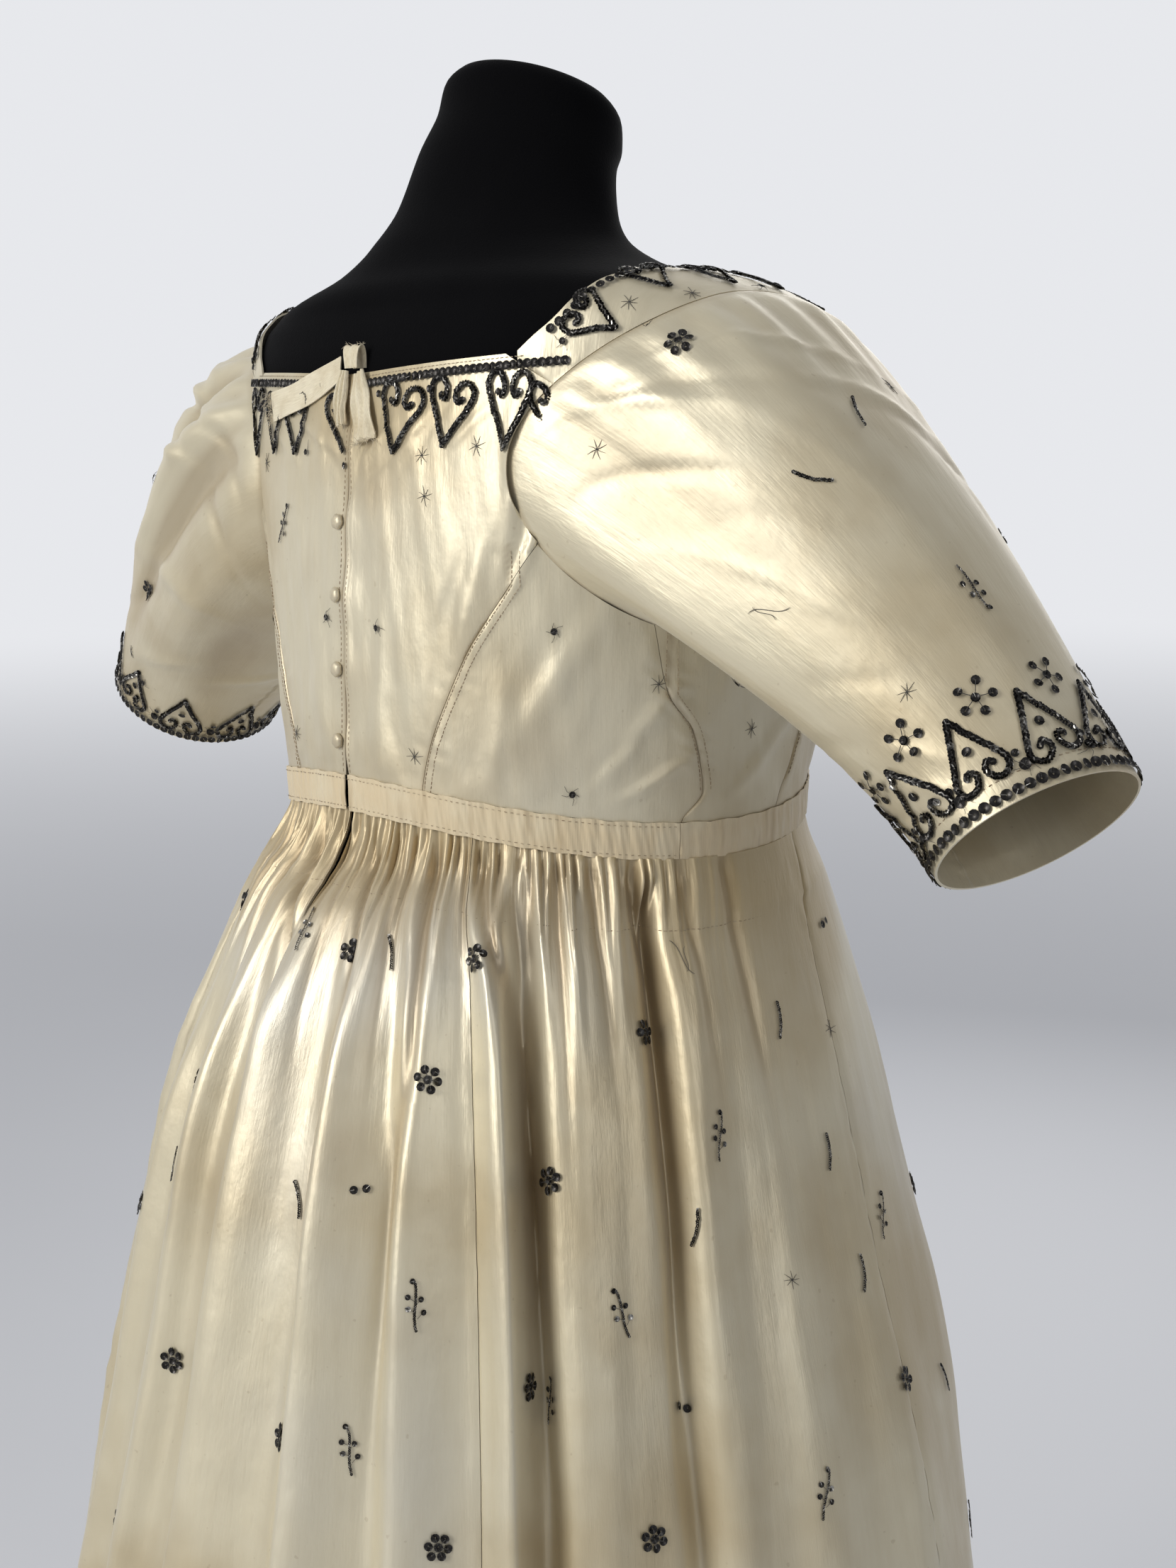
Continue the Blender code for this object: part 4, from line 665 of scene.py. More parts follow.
# The sleeves
def sleeve_surface(side, place, along):
    size = dict(zip(SLEEVE_COLUMNS, SLEEVES[side]))
    start = armhole(place, SLEEVE_ARMHOLE_SCALE) + np.array((-2 * SEAM_GAP, 0.0, 0.0))
    fall = -np.sqrt(1 - size["lean_out"] ** 2 - size["lean_back"] ** 2)
    lean = np.array((-size["lean_out"], size["lean_back"], fall))
    toward_back = unit(np.array((0.0, 1.0, 0.0)) - lean * lean[1])
    toward_top = np.cross(toward_back, lean)
    toward_top = toward_top * np.sign(toward_top[2])
    c, s = np.cos(place)[..., None], np.sin(place)[..., None]
    centre = np.array((-size["out"], size["back"], size["height"]))
    cuff = centre + size["cuff_radius"] * (c * toward_back * size["cuff_ratio"] + s * toward_top)
    leave = (size["leave"] + size["leave_top"] * s + size["leave_back"] * c) * np.array(
        (-1.0, 0.0, size["lift"]))
    leave = leave + size["puff"] * np.concatenate([np.zeros_like(c), c, s], -1)
    arrive = lean * (size["arrive"] + size["arrive_top"] * s)
    v = along[..., None]
    return ((2 * v**3 - 3 * v**2 + 1) * start + (v**3 - 2 * v**2 + v) * leave
            + (3 * v**2 - 2 * v**3) * cuff + (v**3 - v**2) * arrive)


def sleeve_relief(side, place, along):
    degrees = np.degrees(place) % 360.0
    head = smooth_step(2.0, 30.0, degrees) * (1 - smooth_step(150.0, 178.0, degrees))
    wave = np.cos(np.radians(degrees) * 2 * SLEEVE_GATHERS)
    fade = smooth_step(0.0, 0.06, along) * (1 - smooth_step(0.06, 0.34, along))
    total = SLEEVE_GATHER_DEPTH[side] * head * wave * fade
    for round_, half_round, along_, half_along, depth in SLEEVE_FOLDS[side]:
        turn = (degrees - round_ + 180.0) % 360.0 - 180.0
        ends = smooth_step(0.02, 0.14, along) * (1 - smooth_step(0.8, 0.97, along))
        near = np.exp(-(turn / half_round) ** 2 - ((along - along_) / half_along) ** 2)
        total = total + depth * ends * near
    ends = smooth_step(0.0, 0.05, along) * smooth_step(1.0, 0.93, along)
    fine = creases(SLEEVE_CREASES[side], degrees, along, np.radians(0.062), 0.2) * ends
    hem = 0.0004 * smooth_step(0.925, 0.932, along)
    seam = ((degrees - SLEEVE_SEAM + 180.0) % 360.0 - 180.0) * np.radians(0.055)
    pucker = 0.0004 * np.exp(-(seam / 0.005) ** 2) * np.sin(along * 120.0 + seam * 260.0)
    groove = -0.0006 * np.exp(-(seam / 0.0011) ** 2)
    return total + fine * 1.2 + hem + (pucker + groove) * ends


def sleeve_point(side, place, along):
    small = 1e-3

    def smooth(a, b):
        return sleeve_surface(side, a, b)
    out = normals(smooth, place, along, small, small)
    middle = sleeve_surface(side, place, along) - sleeve_surface(side, place + np.pi, along)
    out = out * np.sign(np.sum(out * middle, -1, keepdims=True))
    return smooth(place, along) + out * sleeve_relief(side, place, along)[..., None]


# Materials written as expressions
class Value:
    """The output of a node, which takes part in arithmetic."""

    def __init__(self, finish, socket):
        self.finish = finish
        self.socket = socket

    def math(self, operation, *values):
        return self.finish.node("ShaderNodeMath", {"operation": operation}, dict(enumerate(values)))

    def __add__(self, other):
        return self.math("ADD", self, other)

    def __sub__(self, other):
        return self.math("SUBTRACT", self, other)

    def __mul__(self, other):
        return self.math("MULTIPLY", self, other)

    def __rsub__(self, other):
        return self.math("SUBTRACT", other, self)

    def __pow__(self, other):
        return self.math("POWER", self, other)

    __radd__ = __add__
    __rmul__ = __mul__

    def between(self, low, high):
        """0 up to low and 1 from high on, with soft ends."""
        return self.finish.node("ShaderNodeMapRange", {"interpolation_type": "SMOOTHSTEP"},
                                {"Value": self, "From Min": low, "From Max": high})


class Finish:
    """A material whose nodes come from expressions."""

    def __init__(self, name):
        self.material = bpy.data.materials.new(name)
        self.material.use_nodes = True
        self.tree = self.material.node_tree
        self.shader = self.tree.nodes["Principled BSDF"]

    @classmethod
    def of(cls, tree):
        """The same expressions over a tree that's already there, such as the world's."""
        made = cls.__new__(cls)
        made.tree = tree
        return made

    def feed(self, socket, value):
        if isinstance(value, Value):
            self.tree.links.new(value.socket, socket)
        else:
            socket.default_value = value

    def node(self, kind, settings=None, sockets=None, output=0):
        made = self.tree.nodes.new(kind)
        for key, value in (settings or {}).items():
            setattr(made, key, value)
        for key, value in (sockets or {}).items():
            self.feed(made.inputs[key], value)
        return Value(self, made.outputs[output])

    def blend(self, factor, low, high, mode="MIX"):
        return self.node("ShaderNodeMix", {"data_type": "RGBA", "blend_type": mode},
                         {0: factor, 6: low, 7: high}, 2)

    def noise(self, where, scale, detail=2.0, roughness=0.5):
        return self.node("ShaderNodeTexNoise", {"noise_dimensions": "3D"},
                         {"Vector": where, "Scale": scale, "Detail": detail, "Roughness": roughness})

    def place(self):
        return self.node("ShaderNodeTexCoord", output=3)

    def attribute(self, name, output=1):
        return self.node("ShaderNodeAttribute", {"attribute_name": name}, output=output)

    def stretched(self, where, scale):
        return self.node("ShaderNodeMapping", {"vector_type": "POINT"}, {"Vector": where, "Scale": scale})

    def parts(self, vector):
        split = self.tree.nodes.new("ShaderNodeSeparateXYZ")
        self.feed(split.inputs[0], vector)
        return [Value(self, out) for out in split.outputs]

    def bump(self, height, distance, strength=1.0, below=None):
        sockets = {"Height": height, "Distance": distance, "Strength": strength}
        if below is not None:
            sockets["Normal"] = below
        return self.node("ShaderNodeBump", None, sockets)

    def surface(self, **values):
        for key, value in values.items():
            self.feed(self.shader.inputs[key.replace("_", " ")], value)
        return self.material


def satin_finish(name, warm, cool, waist_stain, slub):
    """Old ivory satin. warm and cool are the shares of yellowed and of faded cloth."""
    f = Finish(name)
    cloth, place = f.attribute("cloth"), f.place()
    stain, grey, hollow_shade = f.parts(f.attribute("marks"))
    height = f.parts(place)[2]
    threads = f.noise(f.stretched(cloth, (1.0, 0.05, 1.0)), 1500.0, 2.0)
    streaks = f.noise(f.stretched(cloth, (1.0, 0.1, 1.0)), 210.0, 4.0, 0.6)
    crumple = f.noise(f.stretched(cloth, (1.0, 0.55, 1.0)), 75.0, 4.0, 0.55)
    patches = f.noise(place, 7.0, 4.0, 0.55)
    clouds = f.noise(place, 3.1, 3.0, 0.5)
    tone = f.blend(patches.between(0.4, 0.68) * warm, colour("satin"), colour("aged"))
    tone = f.blend(clouds.between(0.46, 0.66) * cool, tone, colour("cool"))
    tone = f.blend(streaks.between(0.35, 0.85) * 0.16, tone, colour("aged"))
    rough_edge = height + (patches - 0.5) * 0.1 + (streaks - 0.5) * 0.05
    tone = f.blend(rough_edge.between(1.035, 1.125) * waist_stain, tone, colour("aged"))
    # Painted shade: the stain colour darkens the valleys of folds, gathers and seams
    tone = f.blend(hollow_shade * 0.55, tone, colour("stain"))
    tone = f.blend((stain * (0.5 + patches)).between(0.0, 0.9) * 0.75, tone, colour("stain"))
    specks = f.noise(place, 260.0, 1.0).between(0.74, 0.8) * 0.2
    tone = f.blend(specks, tone, colour("stain"))
    tone = f.blend((grey * (0.6 + threads)).between(0.0, 1.0), tone, (0.1, 0.1, 0.09, 1.0))
    relief = threads * (0.1 * slub) + streaks * (0.32 * slub) + crumple
    return f.surface(Base_Color=tone, Roughness=0.35 + 0.16 * crumple + stain * 0.1, Metallic=0.42,
                     Normal=f.bump(relief, 0.0011, 0.55), Sheen_Weight=0.12, Sheen_Roughness=0.4,
                     Specular_IOR_Level=0.7)


def ribbon_finish():
    f = Finish("waistband_ribbon")
    cloth, place = f.attribute("cloth"), f.place()
    ribs = f.noise(f.stretched(cloth, (1.0, 0.02, 1.0)), 1300.0, 2.0)
    creased = f.noise(f.stretched(cloth, (1.0, 0.12, 1.0)), 160.0, 3.0, 0.6)
    worn = f.noise(place, 36.0, 4.0, 0.6)
    tone = f.blend(worn.between(0.35, 0.75) * 0.55, colour("ribbon"), colour("satin"))
    tone = f.blend(creased.between(0.5, 0.75) * 0.35, tone, colour("stain"))
    return f.surface(Base_Color=tone, Roughness=0.46 + 0.14 * worn, Sheen_Weight=0.2,
                     Specular_IOR_Level=0.5, Normal=f.bump(ribs * 0.3 + creased, 0.0008, 0.6))


def tape_finish():
    f = Finish("tie_tape")
    cloth, place = f.attribute("cloth"), f.place()
    weave = f.noise(f.stretched(cloth, (1.0, 0.25, 1.0)), 2600.0, 1.0)
    creased = f.noise(f.stretched(cloth, (0.3, 1.0, 1.0)), 220.0, 3.0, 0.6)
    worn = f.noise(place, 70.0, 4.0, 0.6)
    tone = f.blend(worn.between(0.4, 0.75) * 0.5, colour("tape"), colour("aged"))
    tone = f.blend(weave.between(0.35, 0.7) * 0.18, tone, colour("stain"))
    return f.surface(Base_Color=tone, Roughness=0.85, Sheen_Weight=0.3, Specular_IOR_Level=0.25,
                     Normal=f.bump(weave * 0.35 + creased, 0.0006, 0.8))


def velvet_finish():
    f = Finish("form_velvet")
    place = f.place()
    nap = f.noise(place, 900.0, 2.0)
    brushed = f.noise(f.stretched(place, (1.0, 1.0, 0.4)), 24.0, 3.0)
    tone = f.blend(brushed, (0.0016, 0.0016, 0.002, 1.0), (0.0034, 0.0034, 0.004, 1.0))
    return f.surface(Base_Color=tone, Roughness=0.95, Sheen_Weight=0.03, Sheen_Roughness=0.35,
                     Specular_IOR_Level=0.06, Normal=f.bump(nap * 0.6 + brushed, 0.0006, 0.5))


def stand_finish():
    f = Finish("stand_paint")
    place = f.place()
    wear = f.noise(place, 40.0, 4.0, 0.6)
    tone = f.blend(wear, (0.012, 0.012, 0.013, 1.0), (0.03, 0.03, 0.031, 1.0))
    return f.surface(Base_Color=tone, Roughness=0.3 + 0.25 * wear, Metallic=0.4,
                     Normal=f.bump(f.noise(place, 600.0, 1.0), 0.0002, 0.3))


def metal_finish():
    """Tarnished silver sequins and wire; tone is darker or brighter from piece to piece."""
    f = Finish("tarnished_metal")
    tone = f.attribute("tone", 2)
    place = f.place()
    blotch = f.noise(place, 900.0, 2.0)
    bright = f.blend(tone.between(0.7, 1.0), (0.045, 0.042, 0.04, 1.0), (0.62, 0.6, 0.55, 1.0))
    shade = f.blend(blotch.between(0.35, 0.65) * 0.7, bright, (0.016, 0.015, 0.014, 1.0))
    return f.surface(Base_Color=shade, Roughness=0.24 + 0.22 * blotch, Metallic=0.85,
                     Specular_IOR_Level=0.6)


def wire_finish():
    f = Finish("metal_thread")
    tone = f.attribute("tone", 2)
    shade = f.blend(tone.between(0.3, 0.9), (0.05, 0.047, 0.042, 1.0), (0.42, 0.39, 0.33, 1.0))
    return f.surface(Base_Color=shade, Roughness=0.42, Metallic=0.6)


def thread_finish(name, dark, light):
    f = Finish(name)
    tone = f.attribute("tone", 2)
    return f.surface(Base_Color=f.blend(tone, dark, light), Roughness=0.7, Metallic=0.0,
                     Sheen_Weight=0.2)


FINISHES = {}


def finish(name):
    """A shared material, made when it's first asked for."""
    makers = {
        "bodice": lambda: satin_finish("satin_bodice", 0.85, 0.2, 0.0, 1.0),
        "skirt": lambda: satin_finish("satin_skirt", 0.75, 0.95, 0.95, 1.3),
        "sleeve": lambda: satin_finish("satin_sleeve", 0.75, 0.05, 0.0, 1.0),
        "ribbon": ribbon_finish, "tape": tape_finish, "velvet": velvet_finish,
        "stand": stand_finish, "metal": metal_finish, "wire": wire_finish,
        "thread": lambda: thread_finish("dark_thread", (0.035, 0.033, 0.03, 1.0),
                                        (0.11, 0.1, 0.085, 1.0)),
        "silk": lambda: thread_finish("silk_thread", (0.24, 0.16, 0.09, 1.0), (0.66, 0.58, 0.42, 1.0)),
    }
    if name not in FINISHES:
        FINISHES[name] = makers[name]()
    return FINISHES[name]


# Meshes
def mesh_piece(name, points, faces, material, fields=None, smooth_angle=70.0):
    """An object that rides on the body, with its named values stored at each point."""
    mesh = bpy.data.meshes.new(name)
    mesh.from_pydata(points.tolist(), [], faces)
    mesh.shade_smooth()
    mesh.set_sharp_from_angle(angle=np.radians(smooth_angle))
    for key, values in (fields or {}).items():
        vector = values.ndim == 2
        stored = mesh.attributes.new(key, "FLOAT_VECTOR" if vector else "FLOAT", "POINT")
        stored.data.foreach_set("vector" if vector else "value", values.astype(np.float32).ravel())
    mesh.materials.append(material)
    thing = bpy.data.objects.new(name, mesh)
    bpy.context.scene.collection.objects.link(thing)
    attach(thing, "root")
    return thing


def marks_of(points, hollow_shade):
    """Brown, grey and shade-in-the-valley shares at each point."""
    marks = np.zeros(points.shape)
    for x, y, z, radius, brown, grey in MARKS:
        near = np.exp(-np.sum((points - (x, y, z)) ** 2, -1) / radius**2)
        marks[..., 0] += brown * near
        marks[..., 1] += grey * near
    marks[..., 2] = hollow_shade
    return marks


def shell(name, outer, inner, material, keep=None, closed=False, cloth=None, hollow_shade=0.0):
    """A closed thin wall between two grids of points; keep marks the cells that hold cloth."""
    rows, columns = outer.shape[:2]
    count = rows * columns
    index = np.arange(count).reshape(rows, columns)
    span = columns if closed else columns - 1
    after = np.roll(index, -1, 1)
    a, b, c, d = index[:-1, :span], after[:-1, :span], after[1:, :span], index[1:, :span]
    keep = np.ones(a.shape, bool) if keep is None else keep
    faces = [np.stack([a, b, c, d], -1)[keep], count + np.stack([d, c, b, a], -1)[keep]]
    blank_row = np.zeros((1, span), bool)
    blank_column = np.zeros((rows - 1, 1), bool)
    above = np.vstack([blank_row, keep[:-1]])
    under = np.vstack([keep[1:], blank_row])
    before = np.roll(keep, 1, 1) if closed else np.hstack([blank_column, keep[:, :-1]])
    beyond = np.roll(keep, -1, 1) if closed else np.hstack([keep[:, 1:], blank_column])
    for p, q, neighbour in ((a, b, above), (b, c, beyond), (c, d, under), (d, a, before)):
        rim = keep & ~neighbour
        faces.append(np.stack([q[rim], p[rim], count + p[rim], count + q[rim]], -1))
    faces = np.concatenate(faces)
    points = np.concatenate([outer.reshape(-1, 3), inner.reshape(-1, 3)])
    corners = points[faces]
    area = np.cross(corners[:, 2] - corners[:, 0], corners[:, 3] - corners[:, 1])
    if np.sum(corners.mean(1) * area) < 0:
        faces = faces[:, ::-1]
    used, faces = np.unique(faces, return_inverse=True)
    faces = faces.reshape(-1, 4)
    fields = {}
    if cloth is not None:
        across, along = np.broadcast_arrays(*cloth)
        flat = np.stack([across, along, np.zeros(across.shape)], -1).reshape(-1, 3)
        fields["cloth"] = np.concatenate([flat, flat])[used]
    marks = marks_of(outer, hollow_shade).reshape(-1, 3)
    fields["marks"] = np.concatenate([marks, marks])[used]
    return mesh_piece(name, points[used], faces.tolist(), material, fields)


def cut_of(grid, closed=False):
    """Width, length and area of the flat piece that a grid of cloth points was cut from."""
    across = np.linalg.norm(np.diff(grid, axis=1), axis=-1)
    if closed:
        across = np.concatenate([across, np.linalg.norm(grid[:, :1] - grid[:, -1:], axis=-1)], 1)
    along = np.linalg.norm(np.diff(grid, axis=0), axis=-1)
    width, length = across.sum(1).max(), along.sum(0).max()
    middle = (across[1:] + across[:-1]) / 2
    rise = along if closed else (along[:, 1:] + along[:, :-1]) / 2
    area = min(float(np.sum(middle * rise)), width * length)
    return (float(width), float(length)), area


def declare(grid, rests_on, closed=False):
    flat, area = cut_of(grid, closed)


def mirrored(grid):
    return grid * np.array((-1.0, 1.0, 1.0))


def stack_rings(name, rings, material, node, fields=None):
    """A closed solid from a stack of rings, with its ends capped, in place of a node."""
    count, rings = len(rings[0]), np.array(rings)
    points = rings.reshape(-1, 3)
    index = np.arange(len(points)).reshape(len(rings), count)
    after = np.roll(index, -1, 1)
    faces = np.stack([after[:-1], index[:-1], index[1:], after[1:]], -1).reshape(-1, 4).tolist()
    faces += [index[0].tolist(), index[-1][::-1].tolist()]
    piece = mesh_piece(name, points, faces, material, fields, 40.0)
    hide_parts(node)
    return piece


# Things sewn on cloth
class Ground:
    """A cloth face that things are sewn on, read by two coordinates that run right and up."""

    def __init__(self, point, step_a, step_b, mirror=False):
        self.point, self.step_a, self.step_b, self.mirror = point, step_a, step_b, mirror
        self.known = {}

    def slopes_at(self, a, b):
        """Slopes at one place, kept so that a motif's many threads don't ask for them again."""
        if (a, b) not in self.known:
            self.known = {(a, b): self.slopes(a, b)}
        return self.known[(a, b)]

    def slopes(self, a, b):
        a, b = np.asarray(a, float), np.asarray(b, float)
        return ((self.point(a + self.step_a, b) - self.point(a - self.step_a, b)) / (2 * self.step_a),
                (self.point(a, b + self.step_b) - self.point(a, b - self.step_b)) / (2 * self.step_b))

    def local(self, a, b, x, y, turn=0.0):
        """Coordinates of points x to the right and y up, in metres, from the place (a, b)."""
        across, along = self.slopes_at(float(a), float(b))
        out = unit(np.cross(across, along))
        right = unit(across)
        up = np.cross(out, right)
        x, y = np.atleast_1d(x), np.atleast_1d(y)
        c, s = np.cos(turn), np.sin(turn)
        shift = (x * c - y * s)[:, None] * right + (x * s + y * c)[:, None] * up
        square = np.array([[across @ across, across @ along], [across @ along, along @ along]])
        moves = np.linalg.solve(square, np.stack([shift @ across, shift @ along]))
        return a + moves[0], b + moves[1]

    def frames(self, a, b, lift=0.0, aim=None):
        """Places with their directions right, up and out, at each pair of coordinates."""
        a, b = np.broadcast_arrays(np.atleast_1d(a), np.atleast_1d(b))
        across, along = self.slopes(a, b)
        out = unit(np.cross(across, along))
        right = across if aim is None else aim
        right = unit(right - out * np.sum(right * out, -1, keepdims=True))
        place = self.point(a, b) + out * np.broadcast_to(lift, a.shape)[..., None]
        up = np.cross(out, right)
        if self.mirror:
            place, right, up, out = (mirrored(v) for v in (place, -right, up, out))
        return place, right, up, out

    def over(self, a0, b0, a, b, lift):
        """Places at coordinates near (a0, b0), lifted along the outward direction there."""
        out = unit(np.cross(*self.slopes_at(float(a0), float(b0))))
        place = self.point(a, b) + out * np.broadcast_to(lift, a.shape)[..., None]
        return mirrored(place) if self.mirror else place

    def row(self, a, b, pitch, lift=0.0):
        """Frames at even distances along a line of coordinates, turned to run with it."""
        points = self.point(a, b)
        run = np.concatenate([[0.0], np.cumsum(np.linalg.norm(np.diff(points, axis=0), axis=-1))])
        places = np.linspace(0, run[-1], max(3, int(run[-1] / pitch) + 1))
        a, b = np.interp(places, run, a), np.interp(places, run, b)
        return self.frames(a, b, lift, np.gradient(self.point(a, b), axis=0))


def ring_faces(sides, rings):
    """Quads between neighbouring rings of points."""
    return np.array([(ring * sides + n, ring * sides + (n + 1) % sides,
                      (ring + 1) * sides + (n + 1) % sides, (ring + 1) * sides + n)
                     for ring in range(rings - 1) for n in range(sides)])


def disc(sides, profile):
    """Points and faces of a small round cup from rings of (radius, height)."""
    turns = np.arange(sides) * 2 * np.pi / sides
    points = np.concatenate([np.stack([r * np.cos(turns), r * np.sin(turns), np.full(sides, h)], -1)
                             for r, h in profile])
    return points, ring_faces(sides, len(profile))


def bar(sides=4):
    """Points and faces of a short length of wire along X, 1 long and of radius 1 across."""
    turns = np.arange(sides) * 2 * np.pi / sides + 0.4
    rings = [np.stack([np.full(sides, x), np.cos(turns), np.sin(turns)], -1) for x in (-0.5, 0.5)]
    return np.concatenate(rings), ring_faces(sides, 2)


SHAPES = {
    "sequin": disc(10, ((1.0, 0.26), (0.62, 0.06), (0.15, 0.0))),
    "link": disc(7, ((1.0, 0.34), (0.32, 0.05))),
    "bar": bar(),
}


class Needlework:
    """Collects sewn things of one area and makes them into joined meshes."""

    def __init__(self, seed):
        self.sewn = {kind: [] for kind in SHAPES}
        self.threads = []
        self.chance = np.random.default_rng(seed)

    def sew(self, kind, frames, size, tilt=0.0, spin=0.0, tone=(0.0, 1.0)):
        place, right, up, out = frames
        count = len(place)
        spin = np.broadcast_to(spin, (count,))[:, None]
        tilt = np.broadcast_to(tilt, (count,))[:, None]
        right, up = right * np.cos(spin) + up * np.sin(spin), up * np.cos(spin) - right * np.sin(spin)
        right, out = right * np.cos(tilt) + out * np.sin(tilt), out * np.cos(tilt) - right * np.sin(tilt)
        size = np.broadcast_to(np.asarray(size, float), (count, 3))
        tones = self.chance.uniform(*tone, count)
        self.sewn[kind].append((place, right * size[:, :1], up * size[:, 1:2], out * size[:, 2:], tones))

    def sequins(self, frames, radius, tone=(0.0, 0.9)):
        """Cupped sequins, each held by one stitch of metal thread from its hole to its rim."""
        count = len(frames[0])
        tilt = self.chance.normal(0.0, 0.16, count)
        spin = self.chance.uniform(0, 2 * np.pi, count)
        self.sew("sequin", frames, (radius, radius, radius), tilt, 0.0, tone)
        place, right, up, out = frames
        side = right * np.cos(spin)[:, None] + up * np.sin(spin)[:, None]
        stitch = (place + side * radius * 0.55 + out * radius * 0.24, side, np.cross(out, side), out)
        self.sew("bar", stitch, (radius * 1.1, 0.00017, 0.00017), 0.12, 0.0, (0.5, 1.0))

    def chain(self, ground, a, b, x, y, turn, radius, pitch=0.0013):
        """Overlapping small sequins along a drawn line, with a twisted wire down the middle."""
        ca, cb = ground.local(a, b, x, y, turn)
        frames = ground.row(ca, cb, pitch, 0.0007)
        count = len(frames[0])
        jitter = self.chance.normal(0.0, 0.1, count)
        place, right, up, out = frames
        sway = self.chance.normal(0.0, 0.1, count)[:, None] * radius
        moved = (place + up * sway, right, up, out)
        self.sew("link", moved, (radius, radius, radius), -0.42 + jitter, jitter, (0.0, 1.0))
        zigzag = np.where(np.arange(count) % 2, 0.5, -0.5)
        raised = (place + out * radius * 0.62, right, up, out)
        self.sew("bar", raised, (pitch * 1.25, radius * 0.22, radius * 0.2), 0.0, zigzag, (0.35, 1.0))

    def thread(self, path, radius=None, tone=0.3):
        self.threads.append((np.asarray(path, float), radius or sizes().thread, tone))

    def ray(self, ground, a, b, x, y, turn, lift=0.0003, tone=0.2, radius=None):
        """A thread laid on the cloth along local points."""
        ca, cb = ground.local(a, b, np.asarray(x, float), np.asarray(y, float), turn)
        self.thread(ground.over(a, b, ca, cb, lift), radius, tone)

    def heart(self, ground, a, b, width, height, turn=0.0, halves="LR", radius=None):
        radius = radius or sizes().link
        knots = np.arange(len(HEART_HALF))
        fine = np.linspace(0, len(HEART_HALF) - 1, 90)
        x = spline(fine, knots, HEART_HALF[:, 0]) * width
        y = spline(fine, knots, HEART_HALF[:, 1]) * height
        wobble = self.chance.uniform(-0.05, 0.05, 2)
        for side, sign in (("R", 1.0), ("L", -1.0)):
            if side in halves:
                self.chain(ground, a, b, sign * x * (1 + wobble[0]), y, turn + wobble[1], radius)

    def motif(self, kind, ground, a, b, turn=0.0, size=1.0):
        getattr(self, kind)(ground, a, b, turn, size)

    def flower(self, ground, a, b, turn, size, petals=6, reach=0.0044, radius=0.002):
        turns = np.arange(petals) * 2 * np.pi / petals + np.pi / 2
        reach = reach * size * (1 + self.chance.uniform(-0.06, 0.06, petals))
        x, y = reach * np.cos(turns), reach * np.sin(turns)
        ca, cb = ground.local(a, b, np.append(x, 0.0), np.append(y, 0.0), turn)
        self.sequins(ground.frames(ca, cb, 0.0006), radius * size, (0.0, 0.78))
        for n in range(petals):
            self.ray(ground, a, b, np.array((0.3, 1.0)) * x[n], np.array((0.3, 1.0)) * y[n], turn,
                     0.0014, 0.1, 0.00035)

    def big_flower(self, ground, a, b, turn, size):
        self.flower(ground, a, b, turn, size, 5, 0.0072, 0.0021)
        ca, cb = ground.local(a, b, np.array((0.0,)), np.array((0.0,)), turn)
        self.sequins(ground.frames(ca, cb, 0.0014), 0.0017, (0.0, 0.5))

    def sprig(self, ground, a, b, turn, size):
        y = np.linspace(-0.0105, 0.01, 14) * size
        x = 0.0014 * np.sin(y / 0.0052) * size
        self.chain(ground, a, b, x, y, turn, 0.0007, 0.001)
        side = np.array((0.003, -0.0032, 0.0028, -0.0026, 0.0004)) * size
        rise = np.array((-0.0035, -0.0008, 0.0022, 0.0042, 0.0105)) * size
        ca, cb = ground.local(a, b, side, rise, turn)
        self.sequins(ground.frames(ca, cb, 0.0005), 0.0013 * size, (0.2, 1.0))
        for sx, sy in zip(side[:4], rise[:4]):
            self.ray(ground, a, b, (0.0, sx), (sy - 0.0022, sy), turn, 0.0006, 0.3, 0.0002)

    def worn(self, ground, a, b, turn, size):
        """What is left of a sprig: its stem thread and some pricks."""
        y = np.linspace(-0.009, 0.009, 12) * size
        x = 0.003 * np.sin(y / 0.0045) * size
        self.ray(ground, a, b, x, y, turn + 0.8, 0.0005, 0.6, 0.00016)
        self.ray(ground, a, b, -x * 0.8 + 0.002, y * 0.6, turn - 0.5, 0.0006, 0.5, 0.00013)

    def comma(self, ground, a, b, turn, size):
        y = np.linspace(-0.008, 0.008, 12) * size
        x = 0.0016 * np.cos(y / 0.006) * size
        self.chain(ground, a, b, x, y, turn, 0.0009, 0.001)

    def star(self, ground, a, b, turn, size):
        for n in range(4):
            spin = turn + n * np.pi / 4 + self.chance.normal(0, 0.09)
            reach = (0.0042 + self.chance.uniform(-0.0008, 0.001)) * size
            x = np.array((-1.0, -0.4, 0.0, 0.4, 1.0)) * reach
            y = np.array((0.0, 0.04, 0.0, -0.04, 0.0)) * reach
            self.ray(ground, a, b, x, y, spin, (0.0001, 0.0003, 0.0005, 0.0003, 0.0001), 0.15)

    def dot(self, ground, a, b, turn, size):
        self.sequins(ground.frames(a, b, 0.0006), 0.0017 * size, (0.0, 0.7))

    def pair(self, ground, a, b, turn, size):
        ca, cb = ground.local(a, b, np.array((-0.0028, 0.0028)) * size, np.array((0.0, 0.0004)), turn)
        self.sequins(ground.frames(ca, cb, 0.0006), 0.0019 * size, (0.0, 0.6))

    def bud(self, ground, a, b, turn, size):
        self.sequins(ground.frames(a, b, 0.0008), 0.0016 * size, (0.0, 0.4))
        for n in range(5):
            spin = turn + n * 1.25 + self.chance.normal(0, 0.2)
            reach = self.chance.uniform(0.003, 0.0052) * size
            self.ray(ground, a, b, np.array((0.0, 0.5, 1.0)) * reach, np.array((0.0, 0.15, 0.0)) * reach,
                     spin, (0.0009, 0.0009, 0.0001), 0.15)

